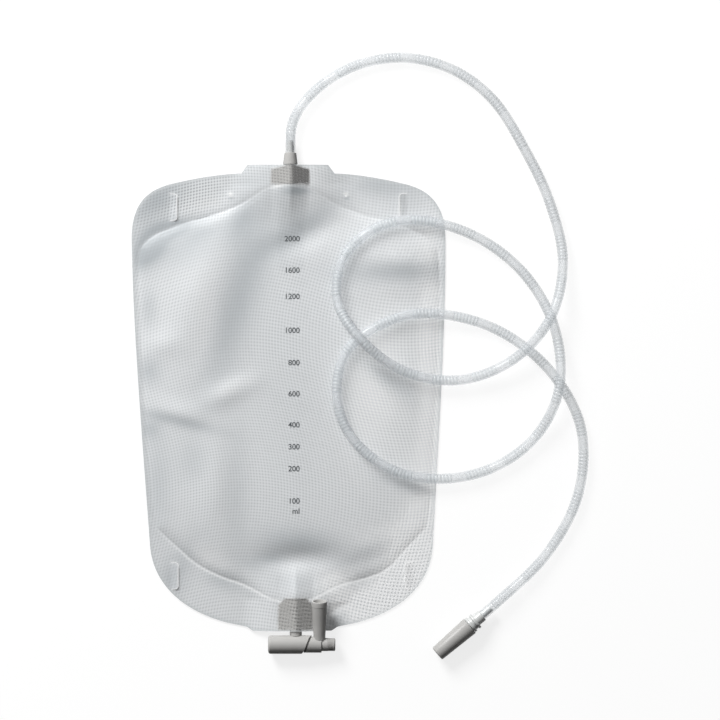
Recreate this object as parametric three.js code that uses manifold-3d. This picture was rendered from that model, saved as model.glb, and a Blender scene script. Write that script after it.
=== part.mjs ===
// Urine drainage bag: a two-litre bag of embossed film that lies on its back, with a weld-in
// inlet port, a kink-resistant drainage tube that ends in a capped catheter connector, and a
// weld-in outlet port with a cross-barrel drain tap. Millimetres, +Z up, the printed front faces
// up, the inlet end points along +Y, and the bag rests on z = 0.
import * as THREE from "three";
import Module from "manifold-3d";
import { mergeVertices } from "three/addons/utils/BufferGeometryUtils.js";

// Bag outline, measured from the bag's centreline
const bagTop = 161.1;
const bagBottom = -162.3;
const shoulderHalfWidth = 109;
const hipHalfWidth = 98.1;
const shoulderDrop = 52; // from the top edge down to the widest point
const hipRise = 57.4; // from the bottom edge up to where the lower corner starts
const topTabHalfWidth = 28;
const topTabHeight = 5.9;
const bottomTabHalfWidth = 27.2;
const bottomTabHeight = 2.8;
const tabChamfer = 4.3;
const centrelineX = 1.01; // where the centreline crosses y = 0
const centrelineLean = -0.0093; // sideways shift of the centreline for each millimetre of y
const centrelineReach = 5; // more than the centreline's largest shift

// Films and the weld around the liquid chamber
const filmThickness = 0.4;
const plyGap = 0.1;
const sideWeldWidth = 3.4;
const chamberPuff = 6;
const puffReach = 22;
const waveHeight = 0.55;
const frontGridPitch = 10.5;
const backGridPitch = 75;
const weldShoulderY = 99.4;
const weldHipY = -88;

// Broad folds in the front film: x and y of the middle, the heading in degrees from +X, half
// the length, half the width, and the height, which is negative for a hollow
const folds = [
  { x: -68, y: 75, heading: 72, reach: 55, spread: 20, height: 5 },
  { x: -91, y: 36, heading: 10, reach: 14, spread: 9, height: 2.4 },
  { x: -39, y: 14, heading: 27, reach: 18, spread: 6, height: 1.8 },
  { x: -79, y: -10, heading: -15, reach: 20, spread: 7, height: 1.6 },
  { x: -52, y: -62, heading: 90, reach: 42, spread: 12, height: 1.8 },
  { x: 10, y: 111, heading: 23, reach: 24, spread: 9, height: -2.6 },
  { x: 84, y: 95, heading: 0, reach: 22, spread: 8, height: 2 },
  { x: 8, y: -107, heading: 0, reach: 26, spread: 10, height: -3.4 },
  { x: 60, y: -114, heading: 15, reach: 20, spread: 6, height: -2 },
];

// Hanger slits and locating holes in the corner flaps
const slitWidth = 0.5;
const slitLength = 19;
const slitReach = 5.2;
const slitTopY = 132;
const slitTopX = 77;
const slitBottomY = -124.2;
const slitBottomX = 78.6;
const locatingHoleRadius = 0.9;
const locatingHoleX = 40.2;
const locatingHoleY = 139.9;

// Weld-in ports
const portAxisZ = 5.4;
const portHalfThickness = 4.7;
const portTipThickness = 0.8;
const filmSeat = 0.3;
const inletX = 1.3;
const inletHalfWidth = 12.9;
const inletLength = 13;
const inletShoulderDrop = 3.2; // how far the port's ends fall short of its middle, above
const inletHeelRise = 0.9; // and below
const inletInset = 0.2; // film that runs past the inlet port's top
const spigotFlareGap = 0.4;
const outletX = 5.1;
const outletHalfWidth = 11.8;
const outletLength = 21;
const outletChamfer = 4.4;
const outletInset = 1.4; // film left below the outlet port
const portRibPitch = 2.6;
const portRibDepth = 0.5;
const filmFall = 9;
const filmFallAtSpout = 4.6;
const filmDrape = 32;

// Inlet spigot and the tube's fit on it
const spigotBaseRadius = 5;
const spigotTopRadius = 4.1;
const spigotHubRadius = 4.1;
const spigotConeLength = 7.6;
const spigotNippleRadius = 2.3;
const spigotNippleLength = 8.4;
const spigotNippleTipRadius = 1.85;
const spigotNippleTaper = 5;
const spigotBoreRadius = 1.3;
const seat = 0.3;

// Return valve inside the bag
const leafHalfWidth = 8.5;
const leafLength = 58;
const leafThickness = 0.25;
const leafGap = 0.3;

// Drain tap
const barrelRadius = 6.4;
const barrelBoreRadius = 4.6;
const barrelLeftX = -14;
const barrelEndWall = 1.9;
const barrelEndRound = 1.7;
const tapAxisY = -171.5;
const seamTopX = 16.9;
const seamFall = 6.3;
const seamGap = 0.6;
const neckRadius = 4.2;
const neckBoreRadius = 3.2;
const nippleRadius = 2.85;
const nippleWall = 0.9;
const nippleReach = 6.2;
const rotorClearance = 0.25;
const rotorEndGap = 0.4;
const sleeveRadius = 5.6;
const sleeveEndX = 23;
const hubRadius = 4.5;
const hubEndX = 27;
const rotorBoreRadius = 2.2;
const spoutX = 21.5;
const spoutLength = 31.2;
const spoutRootRadius = 4.15;
const spoutMouthRadius = 5.2;
const spoutWall = 1.3;
const spoutLip = 0.3;
const spoutLipLength = 3.6;
const spoutTilt = 12; // degrees that the closed spout stands off the bag
const openAngle = 168; // degrees from closed to open
const endPlugLength = 5.2;
const endPlugRound = 1.3;
const endPlugStem = 4;
const endPlugFit = 0.2;
const endPlugRibs = 4;
const endPlugRibDepth = 0.28;
const ringRadius = 0.5; // radius of the seal ring's section
const ringPlay = 0.15;
const ringOffset = 4.4; // from the flow port to each seal ring

// Drainage tube: its route is a list of points along its centreline
const tubeOuterRadius = 3.65;
const tubeInnerRadius = 2.95;
const tubeSides = 8;
const tubeSteps = 80;

// Catheter connector and its cap
const capRootX = 125.7;
const capRootY = -158.5;
const capHeading = 130.6; // degrees from +Y to the way the cap points
const capRootRadius = 6.45;
const capTipRadius = 5.35;
const capLength = 29.75;
const capWall = 1.1;
const capEndWall = 1.4;
const capChamfer = 0.8;
const connectorBore = 1.5;
const connectorConeClearance = 0.45;
const connectorTipGap = 1.2;
const connectorSteps = 4;
const connectorStepHeight = 0.45;
const connectorStepShare = 0.75;
const collarRadius = 5.9;
const collarWaist = 5;
const collarFlange = 1.7;
const collarLength = 5.4;
const bossRadius = 4.15;
const bossLength = 5.6;
const barbRadius = 2.3;
const barbLength = 8;
const barbChamfer = 0.4;

const roundSides = 36;
const fineRoundSides = 20;
const smallRoundSides = 12;
const overshoot = 1; // how far a cutter or a joined end runs past the face that it meets
const cutterTop = 40; // above everything that a cutter goes through
const roundCorner = 1 - Math.SQRT1_2; // how far a round edge's middle lies in from its corner

const wasm = await Module();
wasm.setup();

// Turns a closed three.js geometry into a solid that can be joined and cut
function solid(geometry) {
  const plain = geometry.clone();
  plain.deleteAttribute("normal");
  plain.deleteAttribute("uv");
  const merged = mergeVertices(plain, 1e-4);
  return new wasm.Manifold(
    new wasm.Mesh({
      numProp: 3,
      vertProperties: merged.attributes.position.array,
      triVerts: Uint32Array.from(merged.index.array),
    }),
  );
}

function geometryOf(body) {
  const mesh = body.getMesh();
  const geometry = new THREE.BufferGeometry();
  geometry.setAttribute("position", new THREE.Float32BufferAttribute(mesh.vertProperties, 3));
  geometry.setIndex(Array.from(mesh.triVerts));
  return geometry;
}

// A round bar or hollow along a line, from a list of [radius, distance] pairs
function turned(profile, from, direction, sides = roundSides) {
  const points = profile.map(([radius, along]) => new THREE.Vector2(radius, along));
  const geometry = new THREE.LatheGeometry(points, sides);
  const turn = new THREE.Quaternion().setFromUnitVectors(
    new THREE.Vector3(0, 1, 0),
    direction.clone().normalize(),
  );
  geometry.applyQuaternion(turn);
  geometry.translate(from.x, from.y, from.z);
  return solid(geometry);
}

function bar(radius, from, direction, length, sides = roundSides) {
  const profile = [[0, 0], [radius, 0], [radius, length], [0, length]];
  return turned(profile, from, direction, sides);
}

function smooth(value) {
  const t = Math.min(Math.max(value, 0), 1);
  return t * t * (3 - 2 * t);
}

function centre(y) {
  return centrelineX + centrelineLean * y;
}

const alongX = new THREE.Vector3(1, 0, 0);
const alongY = new THREE.Vector3(0, 1, 0);
const upward = new THREE.Vector3(0, 0, 1);

// Outer edge of both films: the right half as curves, then mirrored about the centreline
function halfOutline() {
  const shoulderY = bagTop - shoulderDrop;
  const hipY = bagBottom + hipRise;
  const neckY = bagTop - topTabHeight;
  const heelY = bagBottom + bottomTabHeight;
  const path = new THREE.Path();
  path.moveTo(topTabHalfWidth, bagTop);
  path.lineTo(topTabHalfWidth + tabChamfer, neckY);
  path.bezierCurveTo(
    topTabHalfWidth + 20, neckY - 0.2,
    shoulderHalfWidth - 43, neckY - 3.6,
    shoulderHalfWidth - 30.5, neckY - 6.6,
  );
  path.bezierCurveTo(
    shoulderHalfWidth - 9.5, neckY - 10.9,
    shoulderHalfWidth, shoulderY + 23.8,
    shoulderHalfWidth, shoulderY,
  );
  path.bezierCurveTo(
    shoulderHalfWidth - 0.4, shoulderY - 64,
    hipHalfWidth + 4.5, hipY + 70,
    hipHalfWidth, hipY,
  );
  path.bezierCurveTo(
    hipHalfWidth - 2.6, hipY - 26,
    hipHalfWidth - 23, heelY + 10.5,
    hipHalfWidth - 53.6, heelY + 2.7,
  );
  path.lineTo(bottomTabHalfWidth + tabChamfer, heelY);
  path.lineTo(bottomTabHalfWidth, bagBottom);
  return path.getPoints(9);
}

function mirrored(half) {
  const right = half.map((p) => new THREE.Vector2(centre(p.y) + p.x, p.y));
  const left = half.map((p) => new THREE.Vector2(centre(p.y) - p.x, p.y)).reverse();
  return right.concat(left);
}

// The weld line that closes the liquid chamber: it runs along the side edges and cuts across
// the corners, so that each corner is a flat flap
function chamberOutline() {
  const sideTop = shoulderHalfWidth - sideWeldWidth;
  const sideBottom = hipHalfWidth + 1.4 - sideWeldWidth;
  const half = [
    new THREE.Vector2(inletHalfWidth, bagTop - 14),
    new THREE.Vector2(inletHalfWidth + 13.5, bagTop - 23.5),
    new THREE.Vector2(36, bagTop - 28.7),
    new THREE.Vector2(sideTop - 54, bagTop - 34.6),
    new THREE.Vector2(sideTop - 33, bagTop - 40.1),
    new THREE.Vector2(sideTop - 14.6, bagTop - 47.1),
    new THREE.Vector2(sideTop - 6.5, weldShoulderY + 9.4),
    new THREE.Vector2(sideTop, weldShoulderY),
    new THREE.Vector2((sideTop + sideBottom) / 2 + 0.8, (weldShoulderY + weldHipY) / 2),
    new THREE.Vector2(sideBottom, weldHipY),
    new THREE.Vector2(sideBottom - 8, weldHipY - 8),
    new THREE.Vector2(sideBottom - 18, weldHipY - 17),
    new THREE.Vector2(sideBottom - 30, weldHipY - 28),
    new THREE.Vector2(sideBottom - 48, weldHipY - 37),
    new THREE.Vector2(32, bagBottom + 32.6),
    new THREE.Vector2(outletHalfWidth, bagBottom + 21),
  ];
  return mirrored(half);
}

const weldLine = chamberOutline();

// Distance in from the weld line, or 0 on the flaps outside it
function depthInChamber(x, y) {
  let nearest = Infinity;
  let inside = false;
  for (let i = 0, j = weldLine.length - 1; i < weldLine.length; j = i++) {
    const a = weldLine[i];
    const b = weldLine[j];
    const run = b.x - a.x;
    const rise = b.y - a.y;
    const t = ((x - a.x) * run + (y - a.y) * rise) / (run * run + rise * rise);
    const held = Math.min(Math.max(t, 0), 1);
    nearest = Math.min(nearest, Math.hypot(x - a.x - held * run, y - a.y - held * rise));
    if (a.y > y !== b.y > y && x < a.x + ((y - a.y) * run) / rise) inside = !inside;
  }
  return inside ? nearest : 0;
}

const inletInnerY = bagTop - inletLength;
const outletTopY = bagBottom + outletInset + outletLength;

// How the films part around a port: the height of the seam's middle plane, and half the
// opening between the films. Both fade into the bag and off to each side of the port
function aroundPort(x, y, port) {
  const aside = Math.abs(x - port.x) - port.halfWidth;
  const fall = x > port.x ? port.fallRight : port.fallLeft;
  const side = smooth(1 - Math.max(aside, 0) / fall);
  const drape = smooth(1 - Math.max((port.innerY - y) * port.inward, 0) / filmDrape);
  const tip = portTipThickness / 2;
  const swell = (portHalfThickness - tip) * Math.max(-aside / port.halfWidth, 0);
  return { lift: side * drape, opening: (swell + (tip + filmSeat) * side) * drape };
}

const ports = [
  { x: inletX, halfWidth: inletHalfWidth, innerY: inletInnerY, inward: 1,
    fallLeft: filmFall, fallRight: filmFall },
  { x: outletX, halfWidth: outletHalfWidth, innerY: outletTopY, inward: -1,
    fallLeft: filmFall, fallRight: filmFallAtSpout },
];

function seam(x, y) {
  const flat = filmThickness + plyGap / 2;
  let middle = flat;
  let opening = plyGap / 2;
  for (const port of ports) {
    const here = aroundPort(x, y, port);
    middle += (portAxisZ - flat) * here.lift;
    opening = Math.max(opening, here.opening);
  }
  return { middle, opening };
}

function foldHeight(x, y) {
  return folds.reduce((sum, fold) => {
    const heading = THREE.MathUtils.degToRad(fold.heading);
    const dx = x - fold.x;
    const dy = y - fold.y;
    const along = (dx * Math.cos(heading) + dy * Math.sin(heading)) / fold.reach;
    const over = (dy * Math.cos(heading) - dx * Math.sin(heading)) / fold.spread;
    return sum + fold.height * Math.exp(-along * along - over * over);
  }, 0);
}

// Underside of the front film: it puffs up inside the weld, with folds and a few slack waves
function frontUnderside(x, y) {
  const { middle, opening } = seam(x, y);
  const puff = 1 - Math.exp(-depthInChamber(x, y) / puffReach);
  const wave = Math.sin((x + 0.45 * y) / 21) * Math.cos((y - 0.3 * x) / 37);
  return middle + opening + puff * (chamberPuff + foldHeight(x, y) + waveHeight * wave * puff);
}

function backTop(x, y) {
  const { middle, opening } = seam(x, y);
  return middle - opening;
}

// Grid lines for a film: an even pitch, and closer lines where the film goes over the ports
function gridLines(from, to, pitch, extra) {
  const count = Math.ceil((to - from) / pitch);
  const even = Array.from({ length: count + 1 }, (_, i) => from + ((to - from) * i) / count);
  const clear = even.filter((v, i) =>
    i === 0 || i === count || extra.every((e) => Math.abs(e - v) > pitch * 0.3));
  return clear.concat(extra).sort((a, b) => a - b);
}

function portLinesX() {
  const lines = [];
  for (const port of ports) {
    lines.push(port.x);
    for (const share of [0, 0.33, 0.67, 1]) {
      lines.push(port.x - port.halfWidth - port.fallLeft * share);
      lines.push(port.x + port.halfWidth + port.fallRight * share);
    }
  }
  return thinned(lines);
}

function portLinesY() {
  const lines = [];
  for (const port of ports) {
    for (const share of [0, 0.25, 0.5, 0.75, 1]) {
      lines.push(port.innerY - port.inward * filmDrape * share);
    }
  }
  return thinned(lines);
}

// Drops a line that lies under half a millimetre from the one before it
function thinned(lines) {
  const sorted = lines.sort((a, b) => a - b);
  return sorted.filter((v, i) => i === 0 || v - sorted[i - 1] > 0.5);
}

// A sheet between an underside and the film's thickness above it, as a closed solid
function sheet(underside, xs, ys, thickness) {
  const columns = xs.length;
  const positions = [];
  for (const lift of [0, thickness]) {
    for (const y of ys) {
      for (const x of xs) positions.push(x, y, underside(x, y) + lift);
    }
  }
  const layer = columns * ys.length;
  const at = (i, j, top) => (top ? layer : 0) + j * columns + i;
  const faces = [];
  const quad = (a, b, c, d) => faces.push(a, b, c, a, c, d);
  for (let j = 0; j < ys.length - 1; j++) {
    for (let i = 0; i < columns - 1; i++) {
      quad(at(i, j, true), at(i + 1, j, true), at(i + 1, j + 1, true), at(i, j + 1, true));
      quad(at(i, j), at(i, j + 1), at(i + 1, j + 1), at(i + 1, j));
    }
  }
  for (let i = 0; i < columns - 1; i++) {
    const last = ys.length - 1;
    quad(at(i, 0), at(i + 1, 0), at(i + 1, 0, true), at(i, 0, true));
    quad(at(i + 1, last), at(i, last), at(i, last, true), at(i + 1, last, true));
  }
  for (let j = 0; j < ys.length - 1; j++) {
    const last = columns - 1;
    quad(at(0, j + 1), at(0, j), at(0, j, true), at(0, j + 1, true));
    quad(at(last, j), at(last, j + 1), at(last, j + 1, true), at(last, j, true));
  }
  const geometry = new THREE.BufferGeometry();
  geometry.setAttribute("position", new THREE.Float32BufferAttribute(positions, 3));
  geometry.setIndex(faces);
  return solid(geometry);
}

function prism(points, bottom, top) {
  const geometry = new THREE.ExtrudeGeometry(new THREE.Shape(points), {
    depth: top - bottom,
    bevelEnabled: false,
  });
  geometry.translate(0, 0, bottom);
  return solid(geometry);
}

// A hanger slit is cut on three sides of a tongue, whose root is on the outer side
function slitTool(x, y, inward) {
  const half = slitLength / 2;
  const outer = x - inward * slitReach;
  const near = (v) => v - inward * slitWidth;
  const points = [
    [outer, y - half], [x, y - half], [x, y + half], [outer, y + half],
    [outer, y + half - slitWidth], [near(x), y + half - slitWidth],
    [near(x), y - half + slitWidth], [outer, y - half + slitWidth],
  ].map(([px, py]) => new THREE.Vector2(px, py));
  return prism(inward > 0 ? points : points.reverse(), -overshoot, cutterTop);
}

function filmCutters() {
  const cutters = [];
  for (const side of [-1, 1]) {
    cutters.push(slitTool(centre(slitTopY) + side * slitTopX, slitTopY, -side));
    cutters.push(slitTool(centre(slitBottomY) + side * slitBottomX, slitBottomY, -side));
    const holeX = centre(locatingHoleY) + side * locatingHoleX;
    const holeAt = new THREE.Vector3(holeX, locatingHoleY, -overshoot);
    cutters.push(bar(locatingHoleRadius, holeAt, upward, cutterTop, smallRoundSides));
  }
  return cutters;
}

function film(underside, pitch) {
  const reach = shoulderHalfWidth + centrelineReach;
  const xs = gridLines(-reach, reach, pitch, portLinesX());
  const ys = gridLines(bagBottom - overshoot, bagTop + overshoot, pitch, portLinesY());
  let body = sheet(underside, xs, ys, filmThickness);
  body = body.intersect(prism(mirrored(halfOutline()), -overshoot, cutterTop));
  for (const cutter of filmCutters()) body = body.subtract(cutter);
  return body;
}

// Rhombic bar along Y that both ports are cut from
function portBar(x, halfWidth, halfThickness, from, to) {
  const tip = portTipThickness / 2;
  const section = new THREE.Shape([
    new THREE.Vector2(-halfWidth, -tip), new THREE.Vector2(0, -halfThickness),
    new THREE.Vector2(halfWidth, -tip), new THREE.Vector2(halfWidth, tip),
    new THREE.Vector2(0, halfThickness), new THREE.Vector2(-halfWidth, tip),
  ]);
  const geometry = new THREE.ExtrudeGeometry(section, { depth: to - from, bevelEnabled: false });
  geometry.rotateX(Math.PI / 2);
  geometry.translate(x, to, portAxisZ);
  return solid(geometry);
}

// Inlet port: a boat that is taller at its middle, with a stepped spigot for the tube
function inletPort() {
  const top = bagTop - inletInset;
  const bottom = inletInnerY;
  const half = inletHalfWidth;
  const face = prism([
    new THREE.Vector2(inletX, top), new THREE.Vector2(inletX - half, top - inletShoulderDrop),
    new THREE.Vector2(inletX - half, bottom + inletHeelRise), new THREE.Vector2(inletX, bottom),
    new THREE.Vector2(inletX + half, bottom + inletHeelRise),
    new THREE.Vector2(inletX + half, top - inletShoulderDrop),
  ], -overshoot, cutterTop);
  const boat = portBar(inletX, half, portHalfThickness, bottom, top).intersect(face);
  const coneEnd = overshoot + spigotConeLength;
  const nippleEnd = coneEnd + spigotNippleLength;
  const spigot = turned([
    [0, -overshoot], [spigotHubRadius, -overshoot], [spigotHubRadius, spigotFlareGap],
    [spigotBaseRadius, spigotFlareGap], [spigotBaseRadius, overshoot],
    [spigotTopRadius, coneEnd], [spigotNippleRadius, coneEnd],
    [spigotNippleRadius, nippleEnd - spigotNippleTaper], [spigotNippleTipRadius, nippleEnd],
    [0, nippleEnd],
  ], new THREE.Vector3(inletX, top, portAxisZ), alongY, fineRoundSides);
  const deep = new THREE.Vector3(inletX, bottom - overshoot, portAxisZ);
  const boreLength = top - bottom + nippleEnd + 2 * overshoot;
  const bore = bar(spigotBoreRadius, deep, alongY, boreLength, smallRoundSides);
  return boat.add(spigot).subtract(bore);
}

// Return valve: two leaves of thin film under the inlet, which close when the bag is squeezed
function valveLeaf(offset) {
  const from = inletInnerY - seat - leafLength;
  const xs = [-1, 0, 1].map((share) => inletX + share * leafHalfWidth);
  const ys = gridLines(from, from + leafLength, frontGridPitch, []);
  return sheet((x, y) => seam(x, y).middle + offset, xs, ys, leafThickness);
}

function onTapAxis(x) {
  return new THREE.Vector3(x, tapAxisY, barrelRadius);
}

// Outlet port: a ribbed boat with its upper corners cut off, and a neck down to the tap
function outletPort() {
  const bottom = bagBottom + outletInset;
  const top = outletTopY;
  const half = outletHalfWidth;
  const core = portBar(outletX, half - portRibDepth, portHalfThickness - portRibDepth, bottom, top);
  let boat = core;
  for (let y = bottom; y + portRibPitch / 2 <= top; y += portRibPitch) {
    const rib = portBar(outletX, half, portHalfThickness, y, y + portRibPitch / 2);
    boat = boat.add(rib);
  }
  const face = prism([
    new THREE.Vector2(outletX - half, bottom), new THREE.Vector2(outletX + half, bottom),
    new THREE.Vector2(outletX + half, top - outletChamfer),
    new THREE.Vector2(outletX + half - outletChamfer, top),
    new THREE.Vector2(outletX - half + outletChamfer, top),
    new THREE.Vector2(outletX - half, top - outletChamfer),
  ], -overshoot, cutterTop);
  const neckFrom = new THREE.Vector3(outletX, tapAxisY, portAxisZ);
  const neck = bar(neckRadius, neckFrom, alongY, bottom + overshoot - tapAxisY, fineRoundSides);
  const saddle = bar(barrelRadius + seat, onTapAxis(outletX - half), alongX, 2 * half);
  const bore = bar(neckBoreRadius, neckFrom, alongY, top + overshoot - tapAxisY, fineRoundSides);
  return boat.intersect(face).add(neck).subtract(saddle).subtract(bore);
}

// A ring about the tap's axis whose left and right edges may run as a ramp around it
function rampedRing(inner, outer, left, right) {
  const positions = [];
  const faces = [];
  for (let i = 0; i < roundSides; i++) {
    const angle = (2 * Math.PI * i) / roundSides;
    for (const [radius, x] of [[inner, left(angle)], [outer, left(angle)],
      [outer, right(angle)], [inner, right(angle)]]) {
      positions.push(x, tapAxisY + radius * Math.cos(angle), barrelRadius + radius * Math.sin(angle));
    }
  }
  for (let i = 0; i < roundSides; i++) {
    const a = i * 4;
    const b = ((i + 1) % roundSides) * 4;
    for (let k = 0; k < 4; k++) {
      const n = (k + 1) % 4;
      faces.push(a + k, b + k, b + n, a + k, b + n, a + n);
    }
  }
  const geometry = new THREE.BufferGeometry();
  geometry.setAttribute("position", new THREE.Float32BufferAttribute(positions, 3));
  geometry.setIndex(faces);
  return solid(geometry);
}

// The seam between barrel and sleeve falls back as a ramp over the front half turn. The back
// half of the barrel is cut away, so that the sleeve's tongue can swing round to the open stop
function barrelEdge(angle) {
  return seamTopX - seamFall * Math.min(angle / Math.PI, 1);
}

function sleeveEdge(angle) {
  const front = angle <= Math.PI + 1e-6;
  return seamTopX + seamGap - (front ? (seamFall * angle) / Math.PI : 0);
}

function tapBarrel() {
  const seamRoot = seamTopX - seamFall;
  const length = seamRoot - barrelLeftX;
  const round = barrelEndRound;
  const shell = turned([
    [0, 0], [barrelRadius - round, 0],
    [barrelRadius - round * roundCorner, round * roundCorner],
    [barrelRadius, round], [barrelRadius, length], [0, length],
  ], onTapAxis(barrelLeftX), alongX);
  const skirt = rampedRing(barrelBoreRadius - overshoot, barrelRadius,
    () => seamRoot - overshoot, barrelEdge);
  const boreFrom = barrelLeftX + barrelEndWall;
  const bore = bar(barrelBoreRadius, onTapAxis(boreFrom), alongX, seamTopX + overshoot - boreFrom);
  const nippleFrom = new THREE.Vector3(outletX, tapAxisY, portAxisZ);
  const reach = barrelRadius + nippleReach;
  const nipple = bar(nippleRadius, nippleFrom, alongY, reach, fineRoundSides);
  const flow = bar(nippleRadius - nippleWall, nippleFrom, alongY, reach + overshoot,
    smallRoundSides);
  return shell.add(skirt).add(nipple).subtract(bore).subtract(flow);
}

// Direction across the tap's axis, by its angle from +Y towards +Z
function across(degrees) {
  const angle = THREE.MathUtils.degToRad(degrees);
  return new THREE.Vector3(0, Math.cos(angle), Math.sin(angle));
}

const rotorRadius = barrelBoreRadius - rotorClearance;
const rotorLeftX = barrelLeftX + barrelEndWall + rotorEndGap;
const ringPlaces = [outletX - ringOffset, outletX + ringOffset];

// Tap rotor: the turning core in the barrel, the sleeve with its tongue, and the hollow spout
function tapSpout() {
  const groove = ringRadius + ringPlay;
  const grooveFloor = rotorRadius - 2 * ringRadius - ringPlay;
  const coreProfile = [[0, rotorLeftX], [rotorRadius, rotorLeftX]];
  for (const x of ringPlaces) {
    coreProfile.push([rotorRadius, x - groove], [grooveFloor, x - groove],
      [grooveFloor, x + groove], [rotorRadius, x + groove]);
  }
  coreProfile.push([rotorRadius, sleeveEndX], [0, sleeveEndX]);
  const core = turned(coreProfile, onTapAxis(0), alongX);
  const sleeve = rampedRing(rotorBoreRadius, sleeveRadius, sleeveEdge, () => sleeveEndX);
  const hub = bar(hubRadius, onTapAxis(seamTopX), alongX, hubEndX - seamTopX);
  const outward = across(spoutTilt);
  const from = onTapAxis(spoutX);
  const lipAt = spoutLength - spoutLipLength;
  const lipRadius = spoutMouthRadius + spoutLip;
  const spout = turned([
    [0, 0], [spoutRootRadius, 0], [spoutRootRadius, barrelRadius],
    [spoutMouthRadius, lipAt - spoutLip], [lipRadius, lipAt],
    [lipRadius, spoutLength - spoutLip], [spoutMouthRadius, spoutLength], [0, spoutLength],
  ], from, outward, fineRoundSides);
  const past = spoutLength + 1;
  const spoutBore = turned([
    [0, 0], [spoutRootRadius - spoutWall, 0], [spoutRootRadius - spoutWall, barrelRadius],
    [spoutMouthRadius - spoutWall, past], [0, past],
  ], from, outward, fineRoundSides);
  const boreFrom = outletX - rotorBoreRadius;
  const axialBore = bar(rotorBoreRadius, onTapAxis(boreFrom), alongX, hubEndX + 1 - boreFrom,
    fineRoundSides);
  const port = bar(rotorBoreRadius, onTapAxis(outletX), across(-openAngle), barrelRadius,
    fineRoundSides);
  return core.add(sleeve).add(hub).add(spout).subtract(spoutBore).subtract(axialBore)
    .subtract(port);
}

function sealRing(x) {
  const section = ringRadius - ringPlay / 2;
  const geometry = new THREE.TorusGeometry(rotorRadius - ringRadius, section, 6, smallRoundSides);
  geometry.rotateY(Math.PI / 2);
  geometry.translate(x, tapAxisY, barrelRadius);
  return solid(geometry);
}

// Plug that closes the rotor's bore, with fine rings around its head
function endPlug() {
  const start = seat;
  const end = seat + endPlugLength;
  const stemRadius = rotorBoreRadius - endPlugFit;
  const profile = [[0, -endPlugStem], [stemRadius, -endPlugStem], [stemRadius, start],
    [hubRadius, start]];
  const pitch = (endPlugLength - endPlugRound) / (endPlugRibs + 1);
  for (let i = 1; i <= endPlugRibs; i++) {
    const at = start + i * pitch;
    profile.push([hubRadius, at - pitch * 0.3], [hubRadius - endPlugRibDepth, at],
      [hubRadius, at + pitch * 0.3]);
  }
  const corner = endPlugRound * roundCorner;
  profile.push([hubRadius, end - endPlugRound], [hubRadius - corner, end - corner],
    [hubRadius - endPlugRound, end], [0, end]);
  return turned(profile, onTapAxis(hubEndX), alongX, fineRoundSides);
}

// Centreline of the drainage tube, from the spigot's shoulder to the connector's boss. It leaves
// the bag, comes back over it in two loops that cross each other, and ends beside it
const tubeRoute = [
  [1.3, 169.8, 5.4], [1.3, 178.6, 5.4], [2.8, 190, 5.3], [9.4, 202.6, 4.8],
  [26.2, 219, 4], [52, 231.8, 3.8], [83, 235.4, 3.7], [115, 226.7, 3.7], [141.5, 206.8, 3.7],
  [163.9, 172, 3.8], [181.4, 134.5, 4.2], [190.2, 94.2, 6], [181.1, 54.5, 13.7],
  [154.9, 25.5, 10.3], [118.1, 11.8, 6.8], [79.2, 18.4, 10.2], [48.1, 42.3, 18.6],
  [33.7, 68.2, 12.7], [39, 97.8, 9.7], [60.8, 117.3, 7.2], [90.3, 122.7, 5.5],
  [130.8, 110.9, 4.3], [164.1, 84.8, 4.3], [184.6, 47.6, 5.9], [187.3, 5.8, 11.7],
  [171.7, -27, 5.8], [142.5, -48.7, 4.8], [106.9, -56.6, 5.9], [71.3, -50, 9.2],
  [43.3, -27.1, 10.7], [33.5, 2.1, 11.2], [40.6, 32.1, 10.8], [64.8, 50.7, 9.9],
  [95, 58.1, 7.5], [140.8, 48.5, 4.4], [179.1, 20.9, 3.8], [202.5, -19.8, 3.7],
  [201.1, -66.9, 3.8], [179.1, -108.8, 4.1], [145.1, -141.8, 6.45], [134.5, -150.95, 6.45],
];

function tubeCurve() {
  const points = tubeRoute.map(([x, y, z]) => new THREE.Vector3(x, y, z));
  return new THREE.CatmullRomCurve3(points, false, "centripetal");
}

function polygonPath(radius, type) {
  const points = Array.from({ length: tubeSides }, (_, i) => {
    const angle = (2 * Math.PI * i) / tubeSides;
    return new THREE.Vector2(radius * Math.cos(angle), radius * Math.sin(angle));
  });
  return new type(points);
}

function drainageTube() {
  const section = polygonPath(tubeOuterRadius, THREE.Shape);
  section.holes.push(polygonPath(tubeInnerRadius, THREE.Path));
  const geometry = new THREE.ExtrudeGeometry(section, {
    steps: tubeSteps,
    extrudePath: tubeCurve(),
    bevelEnabled: false,
  });
  return solid(geometry);
}

// The connector and its cap are turned about one axis, which lies level on the surface
const capOut = new THREE.Vector3(
  -Math.sin(THREE.MathUtils.degToRad(capHeading)),
  Math.cos(THREE.MathUtils.degToRad(capHeading)),
  0,
);
const capRoot = new THREE.Vector3(capRootX, capRootY, capRootRadius);

function capInside(along) {
  const share = along / capLength;
  return capRootRadius - capWall + (capTipRadius - capRootRadius) * share;
}

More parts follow.
